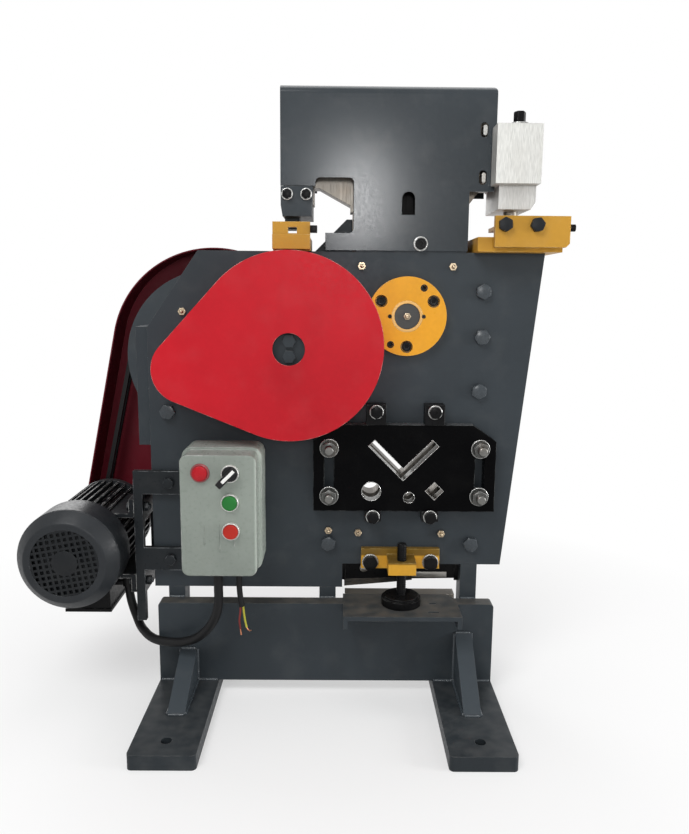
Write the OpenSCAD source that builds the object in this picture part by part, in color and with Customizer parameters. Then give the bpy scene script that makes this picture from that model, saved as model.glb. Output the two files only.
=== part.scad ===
// Mechanical ironworker: a combined punching, notching and shearing machine.
// Millimetres. +X is the operator's right, +Y points away from the operator, +Z is up.
// The origin lies on the floor, at the centre of the four anchor holes.

/* [Base] */
// Width across both feet
base_w = 608; // [590:1:680]
// Length of a foot, front to back
foot_l = 616; // [520:1:720]
// Width of a foot
foot_w = 108; // [90:1:130]
// Thickness of a foot
foot_t = 25; // [16:1:40]
// Corner radius of a foot
foot_r = 8; // [3:1:15]
// Diameter of an anchor hole
anchor_d = 18; // [12:1:22]
// Distance from a foot's end to its anchor hole
anchor_inset = 40; // [30:1:60]
// Height of the base beam above the feet
beam_h = 149; // [130:1:160]
// Thickness of the base beam
beam_t = 28; // [20:1:40]
// Corner radius of the base beam
beam_r = 6; // [4:1:20]
// Thickness of a gusset
gusset_t = 30; // [15:1:40]
// Reach of a gusset along its foot
gusset_l = 120; // [80:1:140]
// Height of the left gussets on the beam
gusset_left_h = 62; // [40:1:100]
// Height of the right gussets on the beam
gusset_right_h = 95; // [40:1:110]
// Width of a post between the beam and the frame
post_w = 30; // [20:1:40]
// Depth of a post
post_d = 40; // [26:1:46]
// How far a post reaches down behind the beam
post_drop = 70; // [40:1:100]

/* [Frame] */
// Thickness of a frame plate
plate_t = 25; // [16:1:32]
// Thickness of the ram
ram_t = 40; // [30:1:50]
// Play between the ram and each frame plate
ram_play = 2; // [0.5:0.1:3]
// Left edge of the frame, from the origin
frame_left = 315; // [312:1:330]
// Right edge of the frame at its top, from the origin
frame_right_top = 373; // [355:1:390]
// Right edge of the frame at its bottom, from the origin
frame_right_bottom = 318; // [300:1:330]
// Gap between the base beam and the frame
frame_gap = 21; // [15:1:30]
// Height of the frame plates
frame_h = 605; // [595:1:640]
// Rise of the bottom edge over the flat-bar shear
shear_step = 45; // [30:1:60]
// Width of the slope at the upper left corner
slope_w = 91; // [60:1:110]
// Height of the slope at the upper left corner
slope_h = 132; // [100:1:160]
// Height of the shoulders inside the hood
shoulder_h = 60; // [40:1:70]
// Thread of the frame bolts
frame_bolt_d = 16; // [12:1:20]
// Wall of the tubes that space the plates
spacer_wall = 7.5; // [4:0.5:10]

/* [Drive] */
// Middle of the ram, from the origin
ram_x = 137; // [130:1:142]
// Height of the eccentric shaft
ecc_z = 691; // [686:1:696]
// Throw of the eccentric
throw = 12; // [6:1:14]
// Radius of the eccentric journal
ecc_r = 42; // [36:1:46]
// Radius of the eccentric shaft's front pin
ecc_pin_r = 22; // [16:1:26]
// Radius of the eccentric shaft in the rear plate
ecc_shaft_r = 28; // [22:1:32]
// Radius of the intermediate shaft
mid_shaft_r = 26; // [20:1:30]
// Radius of the pinion shaft
pinion_shaft_r = 20; // [16:1:24]
// Wall of a bearing bush
bush_wall = 5; // [3:0.5:7]
// Radial play of a shaft in its bush
bush_play = 0.05; // [0.02:0.01:0.09]
// Play between a collar and the face beside it
end_play = 0.5; // [0.3:0.1:1]
// Module of the front gears
front_module = 4; // [3.8:0.1:4.2]
// Teeth of the pinion on the flywheel shaft
pinion_teeth = 18; // [17:1:20]
// Teeth of the bull gear
bull_teeth = 70; // [66:1:72]
// Face width of the bull gear
bull_w = 34; // [24:1:36]
// Module of the rear gears
rear_module = 5; // [4.8:0.1:5.1]
// Teeth of the pinion on the intermediate shaft
mid_teeth = 20; // [18:1:22]
// Teeth of the eccentric gear
ecc_teeth = 63; // [60:1:64]
// Face width of the eccentric gear
ecc_gear_w = 38; // [28:1:42]
// Backlash taken off each tooth
backlash = 0.4; // [0.2:0.05:0.6]
// Radius of the flywheel
flywheel_r = 172; // [150:1:178]
// Width of the flywheel rim
flywheel_w = 55; // [44:1:64]
// Front face of the flywheel rim behind the ram's middle plane
flywheel_y = 160; // [150:1:175]
// Radius of the motor pulley
pulley_r = 42; // [36:1:46]
// Distance between the two belts
belt_pitch = 20; // [18:1:24]
// Width of a belt groove at its mouth
groove_w = 14; // [12:0.5:16]
// Depth of a belt groove
groove_d = 11; // [9:0.5:12]
// Width of a belt
belt_w = 8.4; // [6:0.1:9]
// Thickness of a belt
belt_t = 8; // [6:0.5:9]

/* [Guards] */
// Thickness of the guard sheets
sheet_t = 2.5; // [1.5:0.5:4]
// Room between the bull gear's teeth and its guard
guard_room = 14; // [10:1:16]
// Room between the front pinion's teeth and its guard
lobe_room = 17; // [10:1:20]
// Depth of the front gear guard
guard_d = 74; // [71:1:90]
// Radius of the sight hole in the front gear guard
sight_r = 27; // [20:1:34]
// Room between the rear gears' teeth and their guard
rear_guard_room = 4.5; // [3.5:0.5:5]
// Room between the flywheel and the belt guard
belt_guard_room = 35; // [20:1:40]
// Room between the motor pulley and the belt guard
pulley_room = 24; // [12:1:32]

/* [Ram and hood] */
// Width of the ram
ram_w = 190; // [180:1:194]
// Top of the ram
ram_top = 1050; // [1030:1:1058]
// Bottom of the ram
ram_bottom = 232; // [222:1:240]
// Left reach of the ram's head, from the ram's middle
head_left = 215; // [200:1:216]
// Right reach of the ram's head, from the ram's middle
head_right = 145; // [145:1:155]
// Underside of the ram's head above the frame
head_z = 108; // [106:1:115]
// Height of the slopes under the ram's head
head_slope = 40; // [20:1:44]
// Thickness of a side guide
guide_t = 12; // [8:1:13]
// Height of a side guide
guide_h = 55; // [40:1:60]
// Play between the ram and a side guide
guide_play = 0.3; // [0.2:0.1:0.6]
// Thickness of the hood sheet
hood_t = 3; // [2:0.5:4]
// Top of the hood above the frame
hood_h = 271; // [264:1:280]
// Left reach of the hood, from the ram's middle
hood_left = 218; // [218:1:230]
// Right reach of the hood, from the ram's middle
hood_right = 144; // [130:1:144.5]
// Bend radius of the hood
hood_bend = 14; // [8:1:20]
// Corner radius of the hood's upper right end
hood_corner = 9; // [4:1:14]

/* [Punch station] */
// Width of the punch block
block_w = 66; // [60:1:72]
// Height of the punch block
block_h = 94; // [80:1:110]
// Reach of the punch block in front of the ram's middle plane
block_front = 95; // [80:1:97]
// Reach of the punch block behind the ram's middle plane
block_back = 45; // [30:1:60]
// Height of the punch holder below the block
holder_h = 39; // [30:1:42]
// Radius of the punch
punch_r = 11; // [6:0.5:12]
// Distance of the punch in front of the ram's middle plane
punch_y = 25; // [20:1:35]
// Thickness of the die base
die_base_t = 24; // [18:1:28]
// Length of the stripper's front plate
stripper_l = 123; // [110:1:140]
// Height of the stripper's front plate
stripper_h = 50; // [40:1:50]
// Thickness of the stripper's front plate
stripper_t = 12; // [8:1:16]

/* [Notch station] */
// Width of the notch holder
notch_w = 54; // [50:1:60]
// Height of the notch holder
notch_h = 49; // [45:1:50]
// Reach of the notch holder in front of the ram's middle plane
notch_front = 60; // [50:1:61]
// Height of the notch die's front wall
notch_wall_h = 47; // [40:1:48]
// Thickness of the notch die's base
notch_base_t = 22; // [16:1:24]

/* [Section shear] */
// Width of the section die plate
die_w = 322; // [310:1:324]
// Height of the section die plate
die_h = 156; // [150:1:159]
// Thickness of the section die plate
die_t = 24; // [16:1:28]
// Bottom of the section die plate
die_z = 347; // [344:1:350]
// Width of the corner cuts on the die plate
die_cut_w = 41; // [30:1:50]
// Height of the corner cuts on the die plate
die_cut_h = 29; // [20:1:36]
// Length of an arm of the angle slot
angle_l = 88; // [70:1:90]
// Width of the angle slot
angle_w = 16; // [8:1:18]
// Radius of the round-bar hole
round_r = 17; // [10:1:18]
// Radius of the small round-bar hole
small_r = 10; // [6:1:11]
// Side of the square-bar hole
square_w = 23; // [12:1:26]

/* [Flat-bar shear] */
// Width of the shear table
table_w = 205; // [190:1:210]
// Reach of the shear table in front of the beam
table_reach = 74; // [70:1:90]
// Thickness of the shear table
table_t = 8; // [5:1:8]
// Diameter of the hold-down foot
foot_d = 70; // [50:1:72]
// Diameter of the hold-down screw
screw_d = 17; // [14:1:24]
// Lift of the hold-down foot
hold_lift = 32; // [20:1:34]

/* [Motor] */
// Motor axis left of the origin
motor_x = 441; // [432:1:445]
// Height of the motor axis
motor_z = 275; // [268:1:282]
// Height of the motor axis over its feet
motor_foot_h = 95; // [85:1:100]
// Outside radius of the motor's fins
fin_r = 80; // [76:1:86]
// Radius of the motor housing under its fins
housing_r = 70; // [64:1:72]
// Number of fins
fin_count = 36; // [24:1:40]
// Thickness of a fin
fin_t = 3; // [2:0.5:4]
// Front face of the fan cover before the ram's middle plane
fan_front = 152; // [140:1:160]
// Length of the fan cover
fan_l = 84; // [70:1:95]
// Radius of the fan cover's flat face
fan_face_r = 70; // [60:1:76]
// Outside radius of the fan cover
cowl_r = 88; // [82:1:94]
// Length of the finned housing
housing_l = 176; // [165:1:182]
// Distance across the motor's feet, hole to hole
foot_span = 140; // [125:1:150]
// Thickness of the motor bracket plate
bracket_t = 16; // [10:1:18]
// Height of the motor bracket plate
bracket_h = 281; // [250:1:300]
// Depth of the bracket plate below the motor axis
bracket_drop = 142; // [120:1:150]

/* [Control box] */
// Width of the control box
box_w = 127; // [118:1:134]
// Height of the control box
box_h = 209; // [195:1:212]
// Depth of the control box's base
box_base_d = 53; // [40:1:60]
// Depth of the control box's cover
box_cover_d = 50; // [42:1:60]
// Wall of the control box
box_wall = 3; // [2:0.5:4]
// Corner radius of the control box
box_r = 13; // [8:1:18]
// Step from the cover out to the base
box_lip = 5; // [2:0.5:6]
// Left edge of the control box, from the origin
box_left = 243; // [236:1:246]
// Bottom of the control box
box_z = 254.5; // [250:0.5:260]
// Radius of a button's bezel
bezel_r = 15; // [13:0.5:16]
// Radius of a button
button_r = 12.5; // [9:0.5:13]
// Travel of a button
button_travel = 4; // [2:0.5:4.5]

/* [Hidden] */
$fn = 48;

// Paint and metal colours
slate = "#41464d";
guard_red = "#be2430";
ochre = "#c6942f";
black = "#1a1b1d";
steel = "#a9aaa6";
bright = "#d2d0c8";
bronze = "#a5763c";
box_grey = "#969e96";
motor_grey = "#33363b";

// Planes of the frame, front to back
gap_y = ram_t / 2 + ram_play;
face_y = gap_y + plate_t;
beam_top = foot_t + beam_h;
frame_z = beam_top + frame_gap;
frame_top = frame_z + frame_h;
step_z = frame_z + shear_step;
step_x = ram_x - ram_w / 2 - 13;

// Posts, and the beam that reaches past them and across both feet
post_edge = 14;
post_x = [40 - frame_left, ram_x - ram_w / 2 - 40, ram_x + 124];
beam_x = [
    min(-base_w / 2, post_x[0] - post_w / 2 - post_edge),
    max(base_w / 2, post_x[2] + post_w / 2 + post_edge)
];

// Shaft axes, worked back from the eccentric shaft through both gear meshes
rear_mesh_angle = 15.1;
front_mesh_angle = 11.8;
ecc_c = [ram_x, ecc_z];
mid_c = ecc_c - polar(rear_module * (mid_teeth + ecc_teeth) / 2, rear_mesh_angle);
pinion_c = mid_c - polar(front_module * (pinion_teeth + bull_teeth) / 2, front_mesh_angle);
motor_c = [-motor_x, motor_z];

// Bolts through the frame, and their hex sizes
bolt_play = 0.5;
side_bolt_dx = 132;
frame_bolts_at = [
    [ram_x + side_bolt_dx, frame_top - 66],
    [ram_x + side_bolt_dx, frame_top - 144],
    [ram_x + side_bolt_dx - 2, frame_top - 239],
    [ram_x + 125, step_z + 40],
    [ram_x - 134, step_z + 40],
    [33 - frame_left, frame_top - 280]
];
arm_bolt_x = 33 - frame_left;
small_bolt_d = 12;
nipples_at = [
    [ram_x - 79, frame_top - 24],
    [ram_x + 78, frame_top - 24],
    [ram_x - 134, step_z + 64],
    [ram_x - 80, step_z + 60],
    [ram_x + 71, step_z + 59],
    [pinion_c[0] - 17, pinion_c[1] + 95]
];

// Front face of each thing that lies on the frame's front plate
flange_t = 14;
flange_r = 68;
spigot_r = ecc_pin_r + bush_wall + 13;
flange_screw_pcr = 52;
flange_screw_d = 10;
gear_back = face_y + flange_t + 7;
gear_front = gear_back + bull_w;
pinion_over = 2;
guard_front = face_y + guard_d;

// Rear gears and the flywheel's bearing tube
rear_gear_y = face_y + 21;
rear_guard_d = 75;
tube_end = flywheel_y - 10;
tube_r = 42;
belt_y = flywheel_y + flywheel_w / 2;
guard_back = flywheel_y + flywheel_w + 8;
side_bar_w = 22;
side_bar_z = [frame_top - 342, frame_top - 131];

// Section shear: pattern of holes around the ram's middle
angle_tip = [ram_x - 2, die_z + 55.5];
round_at = [ram_x - 58, die_z + 36];
small_at = [ram_x + 9, die_z + 25];
square_at = [ram_x + 54, die_z + 37];
stud_dx = 133;
stud_z = [die_z + 28, die_z + 114];
stud_d = 16;
clamp_dx = 51;
clamp_w = 34;
clamp_top_h = 36;
clamp_low_w = 29;
clamp_low_h = 18;
clamp_low_shift = 4;
clamp_washer_r = 12.5;
clamp_d = die_t + 4;
window_dx = 82;
window_z = [die_z + 8, die_z + die_h - 10];

// Punch station
block_x = ram_x + head_right;
block_z = frame_top + 109;
block_wing = 8.5;
punch_x = block_x + block_w / 2;
holder_z = block_z - holder_h;
holder_set = 23;
ear_d = holder_set - 1;
stripper_x = block_x - 9;
stripper_z = frame_top + 6.5;
stripper_y = block_front + 3;
finger_z = frame_top + 38;
finger_t = 7;
die_top = frame_top + die_base_t + 2;

// Notch station
notch_x = ram_x - hood_left + 1;
notch_z = frame_top + 57;
tongue_h = head_z - 80;
notch_wall_y = notch_front + 4;
notch_wall_t = 16;
notch_die_x = notch_x - 13;
notch_die_w = notch_w + 9;
notch_punch_x = notch_x + 5;
notch_punch_w = 25;
notch_punch_y = [-30, 10];
notch_play = 0.5;
notch_bolt_d = 8.5;

// Flat-bar shear
table_top = beam_top + table_t;
blade_play = 0.5;
lower_blade_h = 60;
hold_x = ram_x - 3;
screw_y = face_y + 43;
bracket_plate_t = 12;
hold_bracket_z = step_z - 4;
nut_z = step_z;
nut_h = 23;
screw_over = 31;
foot_h = 17;
foot_rest = 0.3;

// Motor and its bracket
plate_x = -motor_x + motor_foot_h;
bracket_z = motor_z - bracket_drop;
bracket_back = 80;
bracket_window_h = 92;
arm_h = 42;
arm_z = [bracket_z + 97, bracket_z + bracket_h - arm_h];
arm_t = 12;
arm_end = -box_left - 9;
housing_y = fan_l - fan_front;
housing_end = housing_y + housing_l;
shield_l = 33;
rotor_r = 44;
motor_shaft_r = 12;
motor_foot_t = 9;
motor_bolt_d = 10;
shaft_end = housing_end + shield_l + 50;
motor_hole_y = [housing_y + 25, housing_y + 125];
terminal_y = [-60, 40];
terminal_z = [motor_z - fin_r - 45, motor_z - fin_r];
terminal_x = [-motor_x - 34, -motor_x + 46];

// Control box, buttons and cable entries
box_front = face_y + box_base_d + box_cover_d;
cover_y = -(face_y + box_base_d);
lamp_at = [34 - box_left, box_z + 179];
selector_at = [84 - box_left, box_z + 178.5];
start_at = [83 - box_left, box_z + 129];
stop_at = [84 - box_left, box_z + 79.5];
stem_r = 7;
stem_play = 0.05;
bezel_t = 6;
gland_y = -(box_front - 25);
conduit_d = 16;
cord_d = 10;
wire_d = 3.6;
gland_h = 4;

// Routes of the cables, by hand: conduit to the motor, then the cut supply cord and its two wires
conduit_route = [
    [-186, -125, 250.5], [-186, -125, 238], [-186, -125, 221], [-186, -125, 204], [-188, -124.5, 186],
    [-193, -123, 169], [-202, -120, 152], [-214, -116, 137], [-229, -111, 124], [-247, -105, 115],
    [-265, -99, 110], [-283, -94, 108], [-301, -88, 108], [-318, -77.5, 109.5], [-333, -62, 113],
    [-345, -47, 118.5], [-355, -35, 132], [-363, -27, 147], [-368.5, -22, 164], [-371, -20, 184]
];
cord_route = [
    [-150, -125, 250.5], [-150, -125, 235], [-149.5, -125, 220], [-148, -125, 205], [-146, -125, 190]
];
red_wire_route = [[-148, -125, 189.2], [-149, -125, 177], [-150.5, -125, 163], [-149, -125, 148]];
earth_wire_route = [[-143.6, -125, 189.6], [-142.4, -125, 177], [-140.5, -125, 163], [-138, -125, 151]];

// Point at a distance and an angle, in the plane of the frame
function polar(r, a) = [r * cos(a), r * sin(a)];

// Half the angle that a tooth takes up at radius r
function involute(a) = tan(a) - a * PI / 180;
function half_tooth(m, z, r) =
    let (rp = m * z / 2, rb = rp * cos(20), a = r > rb ? acos(rb / r) : 0)
    90 / z + (involute(20) - involute(a) - backlash / m / z) * 180 / PI;
function tooth(m, z, i) =
    let (rp = m * z / 2, radii = [rp - 1.25 * m, rp - 0.5 * m, rp, rp + 0.95 * m], a = i * 360 / z)
    concat([for (r = radii) polar(r, a - half_tooth(m, z, r))],
        [for (k = [3:-1:0]) polar(radii[k], a + half_tooth(m, z, radii[k]))]);

module gear_outline(m, z, turn) {
    rotate(turn) polygon([for (i = [0:z - 1]) for (p = tooth(m, z, i)) p]);
}

// A flat shape drawn in X and Z, from y0 back to y1
module slab(y0, y1) {
    translate([0, y1, 0]) rotate([90, 0, 0]) linear_extrude(y1 - y0) children();
}

// A round bar along Y, with an optional bore
module rod(c, r, y0, y1, bore = 0) {
    slab(y0, y1) translate(c) difference() {
        circle(r);
        if (bore > 0) circle(bore);
    }
}

module block(x, y, z) {
    translate([x[0], y[0], z[0]]) cube([x[1] - x[0], y[1] - y[0], z[1] - z[0]]);
}

// Rectangle from a to b with round corners
module rounded(a, b, r) {
    w = b - a;
    translate(a + [r, 0]) square([w[0] - 2 * r, w[1]]);
    translate(a + [0, r]) square([w[0], w[1] - 2 * r]);
    for (x = [r, w[0] - r], y = [r, w[1] - r]) translate(a + [x, y]) circle(r);
}

// Two circles and the straight sides between them, which run a hair inside the tangents
module lobes(c1, r1, c2, r2) {
    d = c2 - c1;
    a = atan2(d[1], d[0]);
    b = acos((r1 - r2) / norm(d));
    s1 = r1 - 0.05;
    s2 = r2 - 0.05;
    translate(c1) circle(r1, $fn = 96);
    translate(c2) circle(r2, $fn = 96);
    polygon([c1 + polar(s1, a + b), c2 + polar(s2, a + b), c2 + polar(s2, a - b), c1 + polar(s1, a - b)]);
}

module lobe_ring(c1, r1, c2, r2) {
    difference() {
        lobes(c1, r1, c2, r2);
        lobes(c1, r1 - sheet_t, c2, r2 - sheet_t);
    }
}

module hexagon(d) {
    circle(d * 1.5 / sqrt(3), $fn = 6);
}

// Hex bolt along Y: its head stands in front of the seat, on a washer if one is given
module hex_bolt(c, seat, d, l, washer_r = 0, head = 0) {
    washer_t = washer_r > 0 ? 3 : 0;
    head_d = head > 0 ? head : d;
    slab(seat - washer_t - 0.65 * head_d, seat - washer_t) translate(c) rotate(30) hexagon(head_d);
    rod(c, d / 2, seat - washer_t, seat + l);
    if (washer_r > 0) rod(c, washer_r, seat - washer_t, seat, d / 2);
}

// Base
module base_feet() {
    color(slate) for (side = [-1, 1]) difference() {
        linear_extrude(foot_t) translate([side * (base_w - foot_w) / 2, 0])
            rounded([-foot_w / 2, -foot_l / 2], [foot_w / 2, foot_l / 2], foot_r);
        for (end = [-1, 1])
            translate([side * (base_w - foot_w) / 2, end * (foot_l / 2 - anchor_inset), -1])
                cylinder(d = anchor_d, h = foot_t + 2);
    }
}

module post(x, top) {
    block([x - post_w / 2, x + post_w / 2], [-face_y, post_d - face_y], [beam_top - post_drop, top]);
}

module gusset(x, y, dir, h) {
    translate([x + gusset_t / 2, y, foot_t]) rotate([90, 0, -90]) linear_extrude(gusset_t)
        polygon([[0, 0], [-dir * gusset_l, 0], [-dir * gusset_l, 4], [-dir * 4, h], [0, h]]);
}

module base_beam() {
    color(slate) {
        slab(-face_y - beam_t, -face_y) {
            rounded([beam_x[0], foot_t], [beam_x[1], beam_top], beam_r);
            translate([beam_x[0], foot_t]) square([beam_x[1] - beam_x[0], beam_r]);
        }
        post(post_x[0], frame_z);
        post(post_x[1], frame_z);
        post(post_x[2], step_z);
        for (side = [-1, 1]) {
            x = side * (base_w / 2 - foot_w / 2);
            h = side < 0 ? gusset_left_h : gusset_right_h;
            gusset(x, -face_y - beam_t, -1, h);
            gusset(x, -face_y, 1, h);
        }
    }
}

// Frame plates
front_shoulder = [[ram_x - 90, frame_top + shoulder_h], [ram_x - 90, frame_top]];
rear_shoulder = [
    [ram_x - 105, frame_top + shoulder_h], [ram_x - 113, frame_top + shoulder_h - 8],
    [ram_x - 105 - shoulder_h, frame_top]
];

module plate_outline(shoulder) {
    polygon(concat([
        [slope_w - frame_left, frame_top], [-frame_left, frame_top - slope_h], [-frame_left, frame_z],
        [step_x, frame_z], [step_x, step_z], [frame_right_bottom, step_z],
        [frame_right_top, frame_top], [ram_x + 100, frame_top],
        [ram_x + 100, frame_top + shoulder_h - 26], [ram_x + 74, frame_top + shoulder_h]
    ], shoulder));
}

module frame_bolt_holes() {
    for (p = frame_bolts_at) translate(p) circle(frame_bolt_d / 2 + bolt_play);
}

module shear_window() {
    translate([ram_x - window_dx, window_z[0]]) square([2 * window_dx, window_z[1] - window_z[0]]);
}

// Clear hole for a bush, or the bush's outside
module bush_hole(c, r) {
    translate(c) circle(r + bush_wall);
}

module front_plate() {
    color(slate) slab(-face_y, -gap_y) difference() {
        plate_outline(front_shoulder);
        frame_bolt_holes();
        shear_window();
        bush_hole(pinion_c, pinion_shaft_r);
        bush_hole(mid_c, mid_shaft_r);
        translate(ecc_c) circle(spigot_r);
        for (x = [-stud_dx, stud_dx], z = stud_z) translate([ram_x + x, z]) circle(stud_d / 2);
        for (p = station_bolts_at) translate(p) circle(small_bolt_d / 2);
        for (z = arm_z) translate([arm_bolt_x, z + arm_h / 2]) circle(small_bolt_d / 2);
        for (a = flange_screw_angles)
            translate(ecc_c + polar(flange_screw_pcr, a)) circle(flange_screw_d / 2);
    }
}

module rear_plate() {
    color(slate) {
        slab(gap_y, face_y) difference() {
            plate_outline(rear_shoulder);
            frame_bolt_holes();
            shear_window();
            bush_hole(pinion_c, pinion_shaft_r);
            bush_hole(mid_c, mid_shaft_r);
            bush_hole(ecc_c, ecc_shaft_r);
        }
        rod(pinion_c, tube_r, face_y, tube_end, pinion_shaft_r + bush_wall);
        block([-frame_left - side_bar_w, -frame_left], [8 - face_y, tube_end], side_bar_z);
    }
}

guides_at = [frame_top - 5 - guide_h, step_z + 30];

module frame_spacers() {
    color(steel) {
        for (p = frame_bolts_at)
            rod(p, frame_bolt_d / 2 + spacer_wall, -gap_y, gap_y, frame_bolt_d / 2 + bolt_play);
        for (side = [-1, 1], z = guides_at) {
            x = ram_x + side * (ram_w / 2 + guide_play + guide_t / 2);
            block([x - guide_t / 2, x + guide_t / 2], [-gap_y, gap_y], [z, z + guide_h]);
        }
    }
}

module frame_bolts() {
    nut_t = 0.8 * frame_bolt_d;
    color(slate) {
        for (p = frame_bolts_at) {
            hex_bolt(p, -face_y, frame_bolt_d, 2 * face_y + nut_t + 3);
            slab(face_y, face_y + nut_t) translate(p) difference() {
                hexagon(frame_bolt_d);
                circle(frame_bolt_d / 2);
            }
        }
        for (z = arm_z) hex_bolt([arm_bolt_x, z + arm_h / 2], -face_y - arm_t, small_bolt_d, arm_t + plate_t);
        for (y = motor_hole_y, side = [-1, 1])
            translate([plate_x + bracket_t, y, motor_z + side * foot_span / 2]) rotate([0, 0, -90]) {
                hex_bolt([0, 0], -motor_foot_t - bracket_t, motor_bolt_d, motor_foot_t + bracket_t + 11);
                slab(0, 0.8 * motor_bolt_d) difference() {
                    hexagon(motor_bolt_d);
                    circle(motor_bolt_d / 2);
                }
            }
    }
}

module grease_nipples() {
    color("silver") for (p = nipples_at) {
        slab(-face_y - 5, -face_y) translate(p) hexagon(8);
        rod(p, 2.6, -face_y - 9, -face_y - 5);
        translate([p[0], -face_y - 9.5, p[1]]) sphere(3.2);
    }
}

// Section shear
module bar_holes() {
    translate(angle_tip) {
        rotate(45) square([angle_l, angle_w]);
        rotate(45) square([angle_w, angle_l]);
    }
    translate(round_at) circle(round_r);
    translate(small_at) circle(small_r);
    translate(square_at) rotate(45) square(square_w, center = true);
}

module section_die_plate() {
    color(black) slab(-face_y - die_t, -face_y) difference() {
        translate([ram_x - die_w / 2, die_z]) polygon([
            [0, 0], [die_w, 0], [die_w, die_h - die_cut_h], [die_w - die_cut_w, die_h],
            [die_cut_w, die_h], [0, die_h - die_cut_h]
        ]);
        bar_holes();
        for (x = [-stud_dx, stud_dx]) {
            for (z = stud_z) translate([ram_x + x, z]) circle(stud_d / 2 + bolt_play);
            translate([ram_x + x - stud_d / 2 - bolt_play, stud_z[0]])
                square([stud_d + 2 * bolt_play, stud_z[1] - stud_z[0]]);
        }
    }
}

module die_studs() {
    washer_t = 3;
    nut_t = 0.8 * stud_d;
    seat = -face_y - die_t;
    color(steel) for (x = [-stud_dx, stud_dx], z = stud_z) {
        p = [ram_x + x, z];
        rod(p, stud_d / 2, seat - washer_t - nut_t - 14, -gap_y);
        rod(p, stud_d + 1, seat - washer_t, seat, stud_d / 2);
        slab(seat - washer_t - nut_t, seat - washer_t) translate(p) difference() {
            rotate(30) hexagon(stud_d);
            circle(stud_d / 2);
        }
    }
}

// Hex bolts that hold the stations: clamps, hold-down bracket and hood
top_clamp_bolts_at = [
    for (x = [-clamp_dx, clamp_dx]) [ram_x + x, die_z + die_h + clamp_top_h - clamp_washer_r]
];
low_clamp_bolts_at = [
    for (x = [-clamp_dx, clamp_dx]) [ram_x + x - clamp_low_shift, die_z - clamp_low_h / 2]
];
clamp_bolts_at = concat(top_clamp_bolts_at, low_clamp_bolts_at);
hold_bolts_at = [for (x = [-54.5, 54.5]) [hold_x + x, hold_bracket_z + 12.5]];
hood_bolt_at = [ram_x + 21, frame_top + 14];
station_bolts_at = concat(clamp_bolts_at, hold_bolts_at, [hood_bolt_at]);
stripper_bolts_at = [for (x = [16, 68]) [stripper_x + x, frame_top + 42]];

module die_clamp(p, z, w, h) {
    slab(-face_y - clamp_d, -face_y) difference() {
        translate([p[0] - w / 2, z]) square([w, h]);
        translate(p) circle(small_bolt_d / 2 + bolt_play);
    }
}

module die_clamps() {
    color(black) {
        for (p = top_clamp_bolts_at) die_clamp(p, die_z + die_h, clamp_w, clamp_top_h);
        for (p = low_clamp_bolts_at) die_clamp(p, die_z - clamp_low_h, clamp_low_w, clamp_low_h);
    }
}

module station_bolts() {
    color(black) {
        for (p = clamp_bolts_at)
            hex_bolt(p, -face_y - clamp_d, small_bolt_d, clamp_d + plate_t, clamp_washer_r);
        for (p = hold_bolts_at)
            hex_bolt(p, -face_y - bracket_plate_t, small_bolt_d, bracket_plate_t + plate_t, 15, 14);
        hex_bolt(hood_bolt_at, -face_y - hood_t, small_bolt_d, hood_t + plate_t, 12.5, 10);
        for (p = stripper_bolts_at)
            hex_bolt(p, -stripper_y - stripper_t, small_bolt_d + 2, stripper_t + ear_d);
        translate([stripper_x + stripper_l, -stripper_y - stripper_t / 2, finger_z]) rotate([0, 90, 0])
            cylinder(d = 13, h = 9, $fn = 6);
        block([notch_die_x + notch_die_w, notch_die_x + notch_die_w + 12],
            [-notch_wall_y - notch_wall_t + 2, -notch_wall_y - 2], [frame_top + 29, frame_top + 41]);
    }
}

// Eccentric shaft and its flange
flange_screw_angles = [30, 150, 270];
flange_hole_angles = [60, 240];

module eccentric_flange() {
    bush_r = ecc_pin_r + bush_wall;
    color("#eba82f") difference() {
        union() {
            rod(ecc_c, flange_r, -face_y - flange_t, -face_y, bush_r);
            rod(ecc_c, spigot_r, -face_y, -gap_y, bush_r);
        }
        for (a = flange_screw_angles) {
            p = ecc_c + polar(flange_screw_pcr, a);
            rod(p, flange_screw_d / 2 + bolt_play, -face_y - flange_t - 1, -face_y + 1);
            rod(p, 0.9 * flange_screw_d, -face_y - flange_t - 1, -face_y - 4);
        }
        for (a = flange_hole_angles)
            rod(ecc_c + polar(flange_screw_pcr + 4, a), 4, -face_y - flange_t - 1, -face_y + 1);
    }
}

module flange_screws() {
    color(black) for (a = flange_screw_angles) {
        p = ecc_c + polar(flange_screw_pcr, a);
        slab(-face_y - flange_t, -face_y - 4) translate(p) difference() {
            circle(0.8 * flange_screw_d);
            hexagon(0.55 * flange_screw_d);
        }
        slab(-face_y - 6, -face_y - 4) translate(p) hexagon(0.6 * flange_screw_d);
        rod(p, flange_screw_d / 2, -face_y - 4, -gap_y);
    }
}

module bush(c, r, y0, y1) {
    rod(c, r + bush_wall, y0, y1, r + bush_play);
}

module shaft_bushes() {
    color(bronze) {
        bush(ecc_c, ecc_pin_r, -face_y - flange_t, -gap_y);
        bush(ecc_c, ecc_shaft_r, gap_y, face_y);
        for (y = [-face_y, gap_y]) {
            bush(mid_c, mid_shaft_r, y, y + plate_t);
            bush(pinion_c, pinion_shaft_r, y, y + plate_t);
        }
        bush(pinion_c, pinion_shaft_r, tube_end - plate_t, tube_end);
    }
}

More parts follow.
